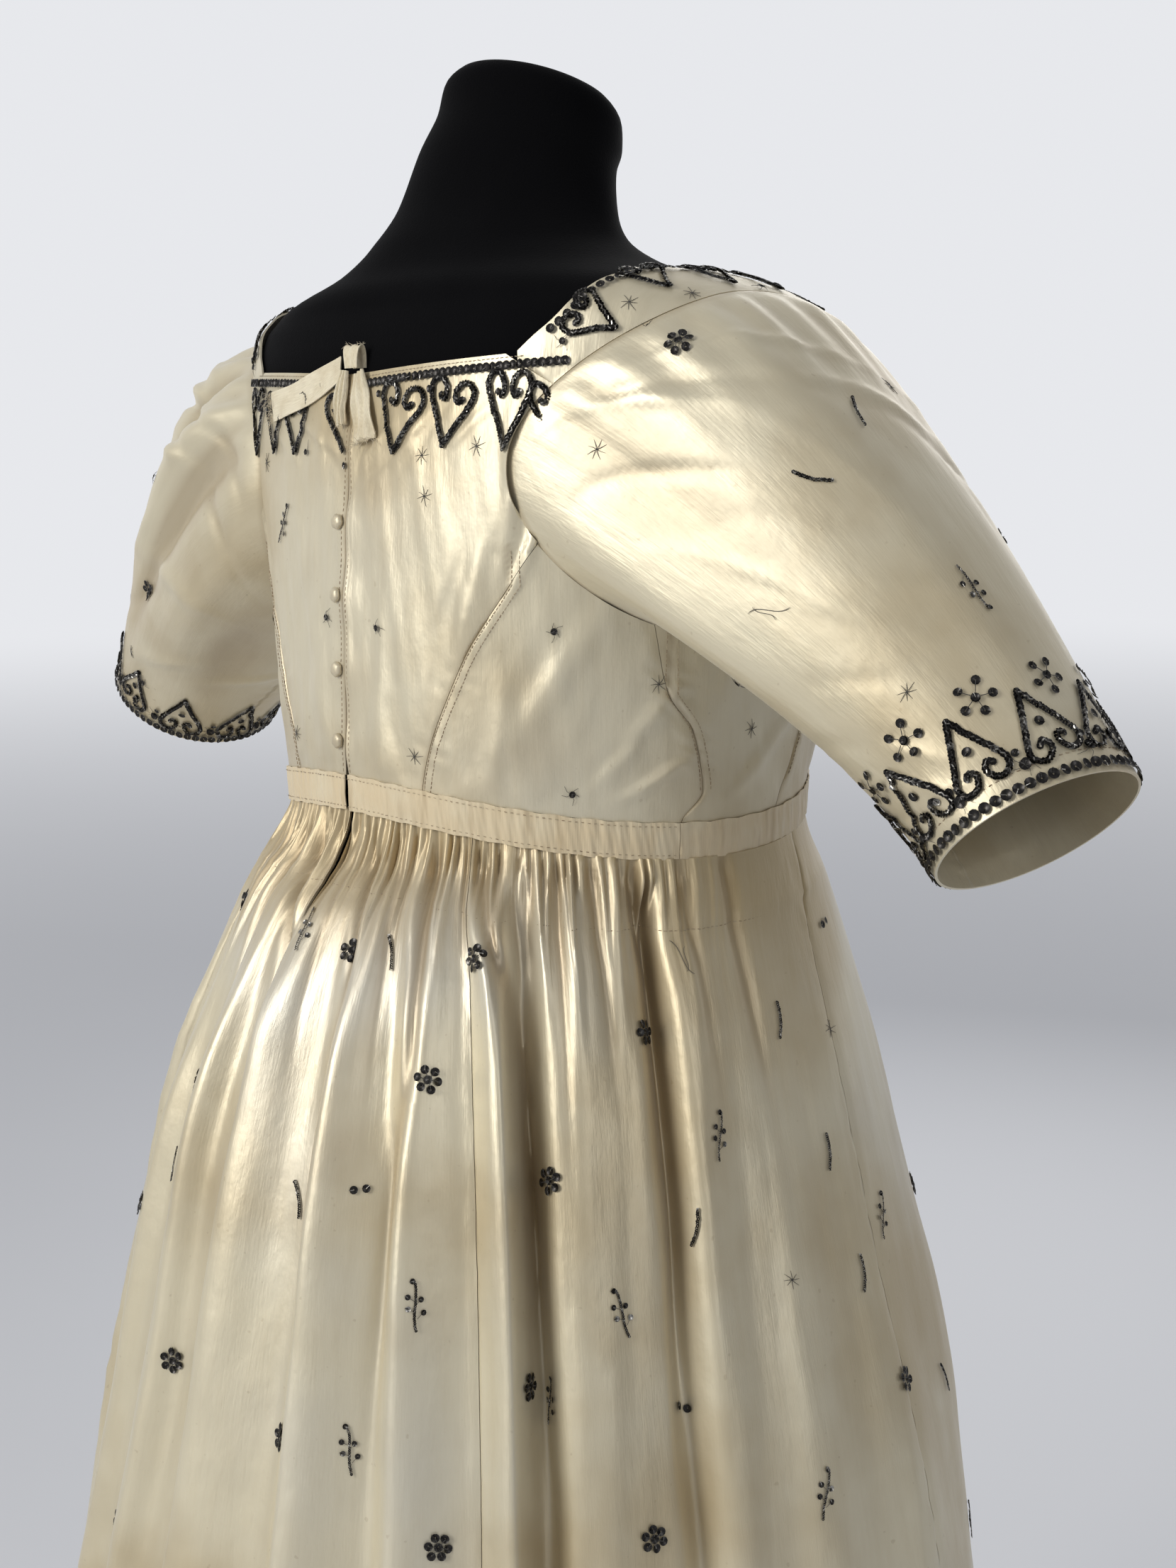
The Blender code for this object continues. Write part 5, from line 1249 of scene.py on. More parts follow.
    def bead(self, ground, a, b, turn, size):
        self.sequins(ground.frames(a, b, 0.0009), 0.0015 * size, (0.0, 0.2))
        self.ray(ground, a, b, (0.0, 0.001, 0.0004), (-0.002, 0.002, 0.006), turn, 0.0007, 0.1)

    def stitches(self, ground, a, b, pitch=0.0021, length=0.0014, thick=0.0002):
        """A row of short silk stitches along a line."""
        frames = ground.row(a, b, pitch, 0.0001)
        self.sew("bar", frames, (length, thick, thick), 0.0, self.chance.normal(0, 0.1, len(frames[0])),
                 (0.0, 0.5))

    def make(self, name, metal="metal", threads="thread"):
        """One mesh for the sequins and wire, and one for the threads."""
        made = []
        points, faces, tones, start = [], [], [], 0
        for kind, groups in self.sewn.items():
            shape, quads = SHAPES[kind]
            for place, right, up, out, tone in groups:
                body = (place[:, None] + shape[None, :, :1] * right[:, None]
                        + shape[None, :, 1:2] * up[:, None] + shape[None, :, 2:] * out[:, None])
                count = len(place)
                offsets = start + np.arange(count)[:, None, None] * len(shape)
                points.append(body.reshape(-1, 3))
                faces.append((quads[None] + offsets).reshape(-1, 4))
                tones.append(np.repeat(tone, len(shape)))
                start += count * len(shape)
        if points:
            made.append(mesh_piece(name, np.concatenate(points), np.concatenate(faces).tolist(),
                                   finish(metal), {"tone": np.concatenate(tones)}, 40.0))
        if self.threads:
            made.append(thread_piece(name + "_threads" if points else name, self.threads, finish(threads)))
        return made


def spline(x, knots, values):
    """A smooth curve through the values, by cubic pieces with averaged slopes."""
    slope = np.gradient(values)
    row = np.clip(np.floor(x).astype(int), 0, len(knots) - 2)
    t = x - row
    return ((2 * t**3 - 3 * t**2 + 1) * values[row] + (t**3 - 2 * t**2 + t) * slope[row]
            + (3 * t**2 - 2 * t**3) * values[row + 1] + (t**3 - t**2) * slope[row + 1])


def thread_piece(name, threads, material, sides=5):
    """One mesh of round threads that follow paths of points."""
    points, faces, tones, start = [], [], [], 0
    turns = np.arange(sides) * 2 * np.pi / sides
    for path, radius, tone in threads:
        tangent = unit(np.gradient(path, axis=0) + 1e-9)
        aside = unit(np.cross(tangent, (0.31, 0.47, 0.83)))
        above = np.cross(tangent, aside)
        taper = np.ones(len(path))
        taper[[0, -1]] = 0.5
        ring = (np.cos(turns)[None, :, None] * aside[:, None] + np.sin(turns)[None, :, None] * above[:, None])
        points.append((path[:, None] + ring * (radius * taper)[:, None, None]).reshape(-1, 3))
        index = start + np.arange(len(path) * sides).reshape(len(path), sides)
        after = np.roll(index, -1, 1)
        faces += np.stack([index[:-1], after[:-1], after[1:], index[1:]], -1).reshape(-1, 4).tolist()
        faces += [index[0][::-1].tolist(), index[-1].tolist()]
        tones.append(np.full(len(path) * sides, tone))
        start += len(path) * sides
    return mesh_piece(name, np.concatenate(points), faces, material, {"tone": np.concatenate(tones)}, 60.0)


def bodice_ground():
    return Ground(bodice_point, 0.006, 0.0008)


def strap_ground(mirror):
    return Ground(strap_point, 0.0008, 0.006, mirror)


def sleeve_ground(side):
    """Runs from the armhole to the cuff to the right, and round the arm upward."""
    def point(along, place):
        return sleeve_point(side, place, along)
    return Ground(point, 0.006, 0.02, side == "left")


def skirt_ground():
    return Ground(skirt_point, 0.9, 0.003)


# The form and its stand
def build_form():
    angles = np.radians(np.arange(0.0, 360.0, 3.0))
    heights = np.concatenate([np.arange(1.1, 1.34, 0.008), np.arange(1.34, 1.4585, 0.0025),
                              (1.46, 1.462, 1.464, 1.466, 1.4675, 1.469)])
    rings = [polar(angles, oval(angles, *section(HIPS, height)), height)
             for height in np.arange(FORM_BOTTOM, 1.031, 0.015)]
    for height in heights:
        half_width, back, front, squareness = section(TORSO, height)
        waist_room = FORM_WAIST_ROOM * (1 - smooth_step(1.115, 1.165, height))
        less = FORM_CLEARANCE + waist_room
        in_front = FORM_FRONT_CLEARANCE + waist_room
        ring = polar(angles, oval(angles, half_width - less, back - less, front - in_front, squareness),
                     height)
        steepness = smooth_step(1.335, 1.375, height) * (1 - smooth_step(1.4, 1.43, height))
        ring[:, 1] += shift_back(height)
        ring[:, 2] -= 1.5 * less * steepness
        ring[:, 2] += NECK_CAP_SLOPE * smooth_step(1.41, 1.455, height) * ring[:, 1]
        rings.append(ring)
    middle = rings[-1].mean(0)
    for share, rise in ((0.66, 0.001), (0.33, 0.0016), (0.05, 0.0018)):
        rings.append(middle + (rings[-1 if share == 0.66 else len(rings) - 1] - middle) * 0.6
                     + np.array((0.0, 0.0, rise * 0.4)))
    stack_rings("velvet_form", rings, finish("velvet"), "form_body")


def build_stand():
    angles = np.radians(np.arange(0.0, 360.0, 7.5))
    pole = [polar(angles, radius, height) for radius, height in (
        (POLE_RADIUS - 0.001, BASE_HEIGHT + SEAM_GAP), (POLE_RADIUS, BASE_HEIGHT + 0.0015),
        (POLE_RADIUS, FORM_BOTTOM - 0.002), (POLE_RADIUS - 0.001, FORM_BOTTOM - SEAM_GAP))]
    stack_rings("stand_pole", pole, finish("stand"), "form_pole")
    profile = ((BASE_RADIUS - 0.001, 0.0), (BASE_RADIUS, 0.001), (BASE_RADIUS, BASE_HEIGHT - BASE_EDGE),
               (BASE_RADIUS - 0.0012, BASE_HEIGHT - 0.0012), (BASE_RADIUS - BASE_EDGE, BASE_HEIGHT),
               (0.03, BASE_HEIGHT))
    base = [polar(angles, radius, height) for radius, height in profile]
    stack_rings("stand_base", base, finish("stand"), "form_base")


# The bodice
def patch(bottom, top, left, right, columns, rows):
    """Angles and heights over a four-sided panel whose sides are curves."""
    u = np.linspace(0, 1, columns)[None, :, None]
    v = np.linspace(0, 1, rows)[:, None, None]
    low, high = bottom(u[0, :, 0])[None], top(u[0, :, 0])[None]
    first, last = left(v[:, 0, 0])[:, None], right(v[:, 0, 0])[:, None]
    corners = ((1 - u) * (1 - v) * low[:, :1] + u * (1 - v) * low[:, -1:]
               + (1 - u) * v * high[:, :1] + u * v * high[:, -1:])
    return (1 - v) * low + v * high + (1 - u) * first + u * last - corners


def seam_curve(table, waist_row, armhole_place, inward):
    end = armhole(np.array(armhole_place))
    heights = np.append(table[:, 0], end[2])
    angles = np.append(np.radians(table[:, 1]), as_angle(end))

    def curve(v):
        height = bodice_bottom(np.radians(table[waist_row, 1])) * (1 - v) + end[2] * v
        angle = smooth_read(height, heights, angles)
        return np.stack([angle + inward * SEAM_GAP / 2 / torso_radius(angle, height), height], -1)
    return curve


def edge_curve(table, waist_row, seam_top, top_height, front, inward):
    """A panel's side: the seam up to the armhole, then the armhole up to the strap."""
    seam_place = armhole_angle(seam_top, front)
    seam = seam_curve(table, waist_row, float(seam_place), inward)
    bottom = seam(np.zeros(1))[0, 1]
    share = (seam_top - bottom) / (top_height - bottom)

    def curve(v):
        height = bottom + (top_height - bottom) * v
        on_seam = seam(np.clip(v / share, 0, 1))
        upper = armhole(armhole_angle(np.maximum(height, seam_top), front), PANEL_ARMHOLE_SCALE)
        blend = smooth_step(share - 0.01, share + 0.03, v)
        angle = on_seam[:, 0] * (1 - blend) + as_angle(upper) * blend
        return np.stack([angle, height], -1)
    return curve


def back_grid(columns, rows):
    right = edge_curve(SIDE_BACK_SEAM, 1, SIDE_BACK_TOP, STRAP_BACK_HEIGHT, False, -1.0)
    corner = right(np.ones(1))[0]
    low_corner = right(np.zeros(1))[0]

    def bottom(u):
        angle = opening_gap(WAIST_HEIGHT + 0.01) / 0.124 * (1 - u) + low_corner[0] * u
        return np.stack([angle, bodice_bottom(angle)], -1)

    def left(v):
        height = bodice_bottom(0.0) * (1 - v) + BACK_NECKLINE[0] * v
        return np.stack([opening_gap(height) / torso_radius(0.0, height), height], -1)

    def top(u):
        height = np.interp(u, (0.0, NECK_CORNER, 1.0), (*BACK_NECKLINE, STRAP_BACK_HEIGHT))
        return np.stack([0.0016 * (1 - u) + corner[0] * u, height], -1)
    return patch(bottom, top, left, right, columns, rows)


def side_grid(first_table, first_row, last_table, last_row, first_place, last_place, columns, rows):
    left = seam_curve(first_table, first_row, first_place, 1.0)
    right = seam_curve(last_table, last_row, last_place, -1.0)

    def bottom(u):
        angle = left(np.zeros(1))[0, 0] * (1 - u) + right(np.zeros(1))[0, 0] * u
        return np.stack([angle, bodice_bottom(angle)], -1)

    def top(u):
        edge = armhole(first_place * (1 - u) + last_place * u, PANEL_ARMHOLE_SCALE)
        curve = np.stack([as_angle(edge), edge[:, 2]], -1)
        curve[0], curve[-1] = left(np.ones(1))[0], right(np.ones(1))[0]
        return curve
    return patch(bottom, top, left, right, columns, rows)


def front_grid(columns, rows):
    left = edge_curve(FRONT_SEAM, 0, FRONT_SEAM_TOP, STRAP_FRONT_HEIGHT, True, 1.0)
    full = 2 * np.pi

    def right(v):
        curve = left(v)
        return np.stack([full - curve[:, 0], curve[:, 1]], -1)

    def bottom(u):
        first = left(np.zeros(1))[0, 0]
        angle = first * (1 - u) + (full - first) * u
        return np.stack([angle, bodice_bottom(angle)], -1)

    def top(u):
        first = left(np.ones(1))[0, 0]
        return np.stack([first * (1 - u) + (full - first) * u, np.full(u.shape, STRAP_FRONT_HEIGHT)], -1)
    return patch(bottom, top, left, right, columns, rows)


def bodice_piece(name, grid, node, flip=False):
    """One panel of the bodice, from its angles and heights, in place of its node."""
    sign = -1.0 if flip else 1.0
    angle, height = grid[..., 0] * sign, grid[..., 1]
    outer = bodice_point(angle, height)
    small = 1e-4
    inner = outer - normals(torso_face, angle, height, small, small) * sizes().cloth
    # Painted shade along the back closing and along the sunk seams
    away = np.abs(angle) * 0.12
    hollow_shade = 0.95 * np.exp(-(away / 0.001) ** 2) + 0.3 * np.exp(-(away / 0.0045) ** 2)
    for table, top in ((SIDE_BACK_SEAM, SIDE_BACK_TOP), (UNDERARM_SEAM, UNDERARM_TOP),
                       (FRONT_SEAM, FRONT_SEAM_TOP)):
        near = seam_distance(angle, height, table, TRUNK_RADIUS)
        hollow_shade = hollow_shade + 0.55 * np.exp(-(near / 0.001) ** 2) * (height < top)
        hollow_shade = hollow_shade + 0.12 * np.exp(-(near / 0.006) ** 2) * (height < top)
    piece = shell(name, outer, inner, finish("bodice"), cloth=(angle * TRUNK_RADIUS, height),
                  hollow_shade=np.clip(hollow_shade, 0, 1))
    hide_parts(node)
    declare(outer, ["velvet_form"])


def build_bodice():
    back = back_grid(76, 96)
    side_back_place, underarm_place = float(armhole_angle(SIDE_BACK_TOP)), float(armhole_angle(UNDERARM_TOP))
    front_place = float(armhole_angle(FRONT_SEAM_TOP, True)) - 2 * np.pi
    side_back = side_grid(SIDE_BACK_SEAM, 1, UNDERARM_SEAM, 0, side_back_place, underarm_place, 76, 64)
    side_front = side_grid(UNDERARM_SEAM, 0, FRONT_SEAM, 0, underarm_place, front_place, 48, 60)
    for side, flip in (("right", False), ("left", True)):
        bodice_piece("satin_back_" + side, back, "bodice_back_" + side, flip)
        bodice_piece("satin_side_back_" + side, side_back, "bodice_side_back_" + side, flip)
        bodice_piece("satin_side_front_" + side, side_front, "bodice_side_front_" + side, flip)
    bodice_piece("satin_front", front_grid(150, 70), "bodice_front")


def strap_grid(columns, rows):
    """Distances across and turns over the shoulder, from the neck edge to the armhole."""
    back = float(armhole_angle(STRAP_BACK_HEIGHT)) + STRAP_END_TURN
    front = float(armhole_angle(STRAP_FRONT_HEIGHT + SEAM_GAP, True))
    neck_back = np.radians(STRAP_NECK_EDGE[0, 0]) + STRAP_END_TURN
    neck_front = np.arctan2(STRAP_FRONT_HEIGHT + SEAM_GAP - ARMHOLE_Z, STRAP_FRONT_Y) % (2 * np.pi)
    s = np.linspace(0, 1, rows)
    outer = armhole(back + (front - back) * s, PANEL_ARMHOLE_SCALE)
    turn = neck_back + (neck_front - neck_back) * s
    across = smooth_read(np.degrees(turn), STRAP_NECK_EDGE[:, 0], STRAP_NECK_EDGE[:, 1])
    inner = over_shoulder(across, turn)
    t = np.linspace(0, 1, columns)[None, :, None]
    aim = inner[:, None] * (1 - t) + outer[:, None] * t
    return np.abs(aim[..., 0]), np.arctan2(aim[..., 2] - ARMHOLE_Z, aim[..., 1]) % (2 * np.pi)


def build_straps():
    across, turn = strap_grid(26, 120)
    outer = strap_point(across, turn)
    outer[:, -1] = armhole_edge(len(outer))
    out = unit(np.cross(np.gradient(outer, axis=0), np.gradient(outer, axis=1)))
    if out[60, 12, 2] < 0:
        out = -out
    inner = outer - out * sizes().cloth
    ends = [strap_point(across[row], turn[row] + way * STRAP_TUCK) - out[row] * 0.0013
            for row, way in ((0, -1.0), (-1, 1.0))]
    outer = np.concatenate([ends[0][None], outer, ends[1][None]])
    under = [ends[0] - out[0] * 0.0005, ends[1] - out[-1] * 0.0005]
    inner = np.concatenate([under[0][None], inner, under[1][None]])
    across, turn = (np.concatenate([grid[:1], grid, grid[-1:]]) for grid in (across, turn))
    for side, flip in (("right", False), ("left", True)):
        face, under = (mirrored(outer), mirrored(inner)) if flip else (outer, inner)
        piece = shell("satin_strap_" + side, face, under, finish("bodice"), cloth=(across, turn * 0.09))
        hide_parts("shoulder_strap_" + side)
        declare(face, ["velvet_form"])


def armhole_edge(rows):
    back = float(armhole_angle(STRAP_BACK_HEIGHT)) + STRAP_END_TURN
    front = float(armhole_angle(STRAP_FRONT_HEIGHT + SEAM_GAP, True))
    return armhole(np.linspace(back, front, rows), PANEL_ARMHOLE_SCALE)


# The waistband
def band_point(angle, height):
    middle = WAIST_HEIGHT + band_rise(angle)
    level = (height - middle) / BAND_HALF_WIDTH
    degrees = np.degrees(angle)
    folds = (0.00022 * np.sin(degrees * 1.7 + 2.0 * np.sin(degrees * 0.31))
             + 0.00016 * np.sin(degrees * 4.3 + 3.0 * level + 1.5 * np.sin(degrees * 0.9)))
    selvage = 0.0002 * smooth_step(0.8, 0.9, np.abs(level))
    radius = torso_radius(angle, height) + BAND_OUT + BAND_ROUNDING * (1 - level**2)
    return polar(angle, radius + folds + selvage, height)


def build_waistband():
    side = np.radians(BAND_JOIN)
    gap = SEAM_GAP / 2 / float(torso_radius(side, WAIST_HEIGHT))
    opening = opening_gap(WAIST_HEIGHT) / float(torso_radius(0.0, WAIST_HEIGHT))
    spans = {"back_right": (opening, side - gap, 220), "front": (side + gap, 2 * np.pi - side - gap, 420),
             "back_left": (-side + gap, -opening, 220)}
    levels = np.linspace(1.0, -1.0, 15)[:, None]
    for name, (first, last, count) in spans.items():
        angle = np.linspace(first, last, count)[None, :]
        wander = 0.00025 * np.sin(np.degrees(angle) * 0.9) * levels
        height = WAIST_HEIGHT + band_rise(angle) + levels * (BAND_HALF_WIDTH + BAND_LAP) + wander
        outer = band_point(angle, height)
        inner = outer - polar(angle, np.full(angle.shape, sizes().ribbon), 0.0)
        piece = shell("ribbon_" + name, outer, inner, finish("ribbon"), cloth=(angle * 0.13, height))
        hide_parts("waistband_" + name)
        declare(outer, ["velvet_form"])


# The skirt
def skirt_heights():
    """Shares of the way down from the band, close together at the gathers."""
    near = np.arange(0.0, 0.1, 0.0031)
    middle = np.arange(0.1, 0.34, 0.008)
    low = np.linspace(0.34, 1.0, 26)
    return np.concatenate([near, middle, low])


def skirt_piece(name, cloth, first_gap, last_gap, slit=None):
    """One panel of the skirt over a range of cloth lines, in place of its node."""
    cloth = np.asarray(cloth)[None, :]
    top = WAIST_HEIGHT - BAND_HALF_WIDTH - SEAM_GAP + band_rise(np.radians(cloth))
    hem = SKIRT[0, 0]
    down = skirt_heights()[:, None]
    height = top - down * (top - hem)
    cloth = np.broadcast_to(cloth, height.shape)
    angle, radius = skirt_radius(cloth, height)
    angle = np.unwrap(angle, axis=1)
    angle[:, 0] += first_gap / radius[:, 0]
    angle[:, -1] -= last_gap / radius[:, -1]
    keep = None
    if slit is not None:
        keep = np.ones((height.shape[0] - 1, height.shape[1] - 1), bool)
        half = opening_gap(height[:, slit]) / radius[:, slit]
        angle[:, slit] -= half
        angle[:, slit + 1] += half
        keep[:, slit] = height[1:, slit] < PLACKET_END
    outer = polar(angle, radius, height)
    inner = polar(angle, radius - sizes().cloth, height)
    # Painted shade in the gathers' valleys, in the folds' valleys and along the narrow troughs
    valley = gather_parts(cloth, height)[1]
    fold = np.clip(-(fold_offset(cloth, height) + 0.0005) / 0.006, 0, 1)
    lines = 0.8 * troughs(cloth, height)[0] * smooth_step(0.8, 1.06, height)
    hollow_shade = np.clip(0.85 * valley + 0.5 * fold * smooth_step(0.7, 1.05, height) + lines, 0, 1)
    piece = shell(name, outer, inner, finish("skirt"), keep, cloth=(cloth * 0.0032, height), hollow_shade=hollow_shade)
    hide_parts(name.replace("satin_", ""))
    declare(outer, ["velvet_form"])


def gather_lines(first, last):
    """Cloth lines with an even number of columns across each gather."""
    dense = np.linspace(first, last, 6001)
    phase = gather_phase(dense)
    count = int(abs(phase[-1] - phase[0]) * sizes().gather_columns) + 1
    return np.interp(np.linspace(phase[0], phase[-1], count), phase, dense)


def build_skirt():
    back, side = SKIRT_BACK_SEAM[-1, 1], SKIRT_SIDE_SEAM[-1, 1]
    half_gap = SEAM_GAP / 2
    left_half, right_half = gather_lines(-back, 0.0), gather_lines(0.0, back)
    skirt_piece("satin_skirt_back", np.concatenate([left_half, right_half]), half_gap, half_gap,
                len(left_half) - 1)
    plain = np.linspace(GATHERS_THIN[1], side, 46)[1:]
    gathered = gather_lines(back, GATHERS_THIN[1])
    skirt_piece("satin_skirt_side_right", np.concatenate([gathered, plain]), half_gap, half_gap)
    gathered = gather_lines(-GATHERS_THIN[1], -back)
    skirt_piece("satin_skirt_side_left", np.concatenate([-plain[::-1], gathered]), half_gap, half_gap)
    front = np.linspace(side, 360.0 - side, 150)
    skirt_piece("satin_skirt_front", np.where(front > 180.0, front - 360.0, front), half_gap, half_gap)


# The sleeves
def build_sleeve(side):
    place = np.radians(SLEEVE_SEAM) + np.linspace(0, 2 * np.pi, 193)[:-1]
    along = np.concatenate([np.linspace(0.0, 0.34, 36), np.linspace(0.34, 1.0, 44)[1:]])
    places, alongs = np.meshgrid(place, along)
    outer = sleeve_point(side, places, alongs)
    tangent = np.roll(outer, -1, 1) - np.roll(outer, 1, 1)
    out = unit(np.cross(np.gradient(outer, axis=0), tangent))
    middle = outer.mean(1, keepdims=True)
    if np.sum(out * (outer - middle)) < 0:
        out = -out
    thickness = sizes().cloth * np.ones(outer.shape[0])
    thickness[along > 0.93] *= 1.25
    inner = outer - out * thickness[:, None, None]
    tighter = 1 - 1.2 * sizes().cloth / ARMHOLE_HALF_HEIGHT
    lift = np.array((-2 * SEAM_GAP, 0.0, 0.0))
    outer[0] = armhole(place, SLEEVE_ARMHOLE_SCALE) + lift
    inner[0] = armhole(place, SLEEVE_ARMHOLE_SCALE * tighter) + lift
    if side == "left":
        outer, inner = mirrored(outer), mirrored(inner)
    inside = unit(np.array(ARMHOLE_TUCK_AIM) - outer[0] * (mirrored(np.ones(3)) if side == "left" else 1))
    inside = mirrored(inside) if side == "left" else inside
    wide = armhole(place, 1.018)
    wide = mirrored(wide) if side == "left" else wide
    outer = np.concatenate([(wide + inside * 0.0017)[None], outer])
    inner = np.concatenate([(wide + inside * 0.0022)[None], inner])
    places, alongs = np.vstack([places[:1], places]), np.vstack([alongs[:1] - 0.01, alongs])
    # Painted shade in the sleeve's folds and creases, and in the tuck at the armhole
    hollow_shade = np.clip(-sleeve_relief(side, places, alongs) / 0.005, 0, 0.7)
    hollow_shade += 0.45 * smooth_step(0.02, 0.0, alongs)
    piece = shell("satin_sleeve_" + side, outer, inner, finish("sleeve"), closed=True,
                  cloth=(places * 0.06, alongs * 0.2), hollow_shade=np.clip(hollow_shade, 0, 1))
    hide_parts("sleeve_" + side)
    declare(outer, ["satin_strap_" + side], True)


# Buttons and the tie
def build_buttons():
    count = 28
    turns = np.arange(count) * 2 * np.pi / count
    profile = ((0.8, 0.02), (0.98, 0.1), (1.02, 0.34), (0.96, 0.58), (0.78, 0.82), (0.5, 0.95),
               (0.2, 1.0))
    for number, height in enumerate(BUTTON_HEIGHTS, 1):
        angle = np.array([-BUTTON_OFFSET / float(torso_radius(0.0, height))])
        place, right, up, out = (v[0] for v in bodice_ground().frames(angle, np.array([height])))
        rings = []
        for share, rise in profile:
            corner = 1 + 0.045 * np.cos(turns * 6 + number) * (share > 0.6)
            ring = (np.cos(turns)[:, None] * right + np.sin(turns)[:, None] * up) * corner[:, None]
            rings.append(place + out * (SEAM_GAP + BUTTON_RISE * rise) + ring * BUTTON_RADIUS * share)
        fields = {"cloth": np.tile(np.stack([np.cos(turns), np.sin(turns), turns * 0], -1) * 0.003,
                                   (len(profile), 1)),
                  "marks": np.tile((0.35, 0.0, 0.0), (len(profile) * count, 1))}
        stack_rings(f"covered_button_{number}", rings, finish("bodice"), f"button_{number}",
                    fields)


def tape_points(path, widths, rows, columns, pleat, curl):
    """The outer face of a tape on the bodice, with lengthwise pleats and a waving surface."""
    path = np.array(path)
    places = np.linspace(0, 1, rows)
    knots = np.linspace(0, 1, len(path))
    angle = smooth_read(places, knots, np.radians(path[:, 0]))
    height = smooth_read(places, knots, path[:, 1])
    width = smooth_read(places, np.linspace(0, 1, len(widths)), np.array(widths))
    along_z, along_x = np.gradient(height), np.gradient(angle) * NECKLINE_RADIUS
    length = np.hypot(along_z, along_x)
    across = np.linspace(-0.5, 0.5, columns)[None, :]
    grid_angle = angle[:, None] + across * (width * -along_z / length)[:, None] / NECKLINE_RADIUS
    grid_height = height[:, None] + across * (width * along_x / length)[:, None]
    wave = pleat * np.cos(across * 2 * np.pi * 2.5 + 3.0 * places[:, None])
    sway = curl * np.sin(places[:, None] * 9.0 + across * 4.0)
    lift = TAPE_CLEARANCE + 0.001 + np.abs(pleat) + np.abs(curl) + wave + sway
    small = 1e-4
    out = normals(torso_face, grid_angle, grid_height, small, small)
    outer = torso_face(grid_angle, grid_height) + out * lift[..., None]
    return outer, out, (across * TAPE_WIDTH, height[:, None])


def tape_piece(name, node, path, widths, rows, columns, pleat, curl, thick=0.0006):
    outer, out, cloth = tape_points(path, widths, rows, columns, pleat, curl)
    piece = shell(name, outer, outer - out * thick, finish("tape"), cloth=cloth)
    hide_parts(node)
    declare(outer, ["satin_back_left"])
    return outer, out


def frays(work, edge, inward, out, length, count, spread=0.35):
    """Loose threads that stand out from a cut edge of cloth."""
    run = np.linspace(0, len(edge) - 1, count)
    for n, place in enumerate(run):
        low = int(min(place, len(edge) - 2))
        start = edge[low] + (edge[low + 1] - edge[low]) * (place - low)
        reach = length * (0.4 + work.chance.uniform(0, 1.0))
        aim = unit(-inward[low] + spread * work.chance.normal(0, 1, 3) + 0.25 * out[low])
        droop = np.array((0.0, 0.0, -0.35)) * reach
        t = np.linspace(0, 1, 6)[:, None]
        work.thread(start + out[low] * 0.0003 + aim * reach * t + droop * t**2, 0.00009, 0.9)


def build_tie():
    work = Needlework(31)
    outer, out = tape_piece("tape_band", "tie_tape", ((-34.0, 1.3165), (-21.0, 1.3215), (-4.9, 1.3325)),
                            (TAPE_WIDTH, TAPE_WIDTH, TAPE_WIDTH * 0.8), 60, 14, 0.00005, 0.0005)
    frays(work, outer[0], outer[1] - outer[0], out[0], 0.0045, 46)
    outer, out = tape_piece("tape_end_left", "tie_end_left", ((-2.6, 1.331), (-3.4, 1.317), (-2.2, 1.306)),
                            (0.0062, 0.0072, 0.0066), 30, 30, 0.001, 0.0003)
    frays(work, outer[-1], outer[-2] - outer[-1], out[-1], 0.003, 16)
    outer, out = tape_piece("tape_end_right", "tie_end_right", ((3.0, 1.33), (5.0, 1.314), (7.2, 1.2985)),
                            (0.0085, 0.012, 0.0145), 44, 34, 0.0006, 0.0007)
    frays(work, outer[-1], outer[-2] - outer[-1], out[-1], 0.004, 44)
    build_knot(work)
    work.make("tape_frays", threads="silk")


def build_knot(work):
    """The tape's loop that stands above the neckline, folded over, with a wrap across its foot."""
    centre = torso_face(np.array(0.01), np.array(1.3375))
    t = np.linspace(0, 1, 40)[:, None]
    bend = np.pi * (t - 0.04) / 0.92
    high, deep = 0.0056, 0.0026
    line_y = deep * np.cos(bend)
    line_z = -0.0052 + (high + 0.0048) * np.sin(np.clip(bend, 0, np.pi)) ** 0.7
    across = np.linspace(-1, 1, 22)[None, :]
    half = 0.0066 * (0.72 + 0.28 * np.sin(np.clip(bend, 0, np.pi)))
    fold = 0.0004 * np.cos(across * 7.0 + 2.0 * t)
    lean = 0.001 * np.sin(np.clip(bend, 0, np.pi))
    outer = centre + np.stack(np.broadcast_arrays(across * half + lean + 0.0004,
                                                  line_y + fold * np.cos(bend) + 0.0018,
                                                  line_z + fold * np.sin(bend)), -1)
    out = unit(np.cross(np.gradient(outer, axis=1), np.gradient(outer, axis=0)))
    middle = outer.mean((0, 1))
    if np.sum(out * (outer - middle)) < 0:
        out = -out
    piece = shell("tape_loop", outer, outer - out * 0.0005, finish("tape"),
                  cloth=(across * 0.0046, t * 0.03))
    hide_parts("tie_knot")
    declare(outer, ["tape_band"])
    crown = outer[18:24, ::3].reshape(-1, 3)
    for start in crown[::2]:
        reach = work.chance.uniform(0.001, 0.0032)
        aim = unit(np.array((0.0, 0.2, 1.0)) + work.chance.normal(0, 0.7, 3))
        s = np.linspace(0, 1, 5)[:, None]
        work.thread(start + aim * reach * s + np.array((0.0, 0.0, -0.3)) * reach * s**2, 0.00007, 0.9)


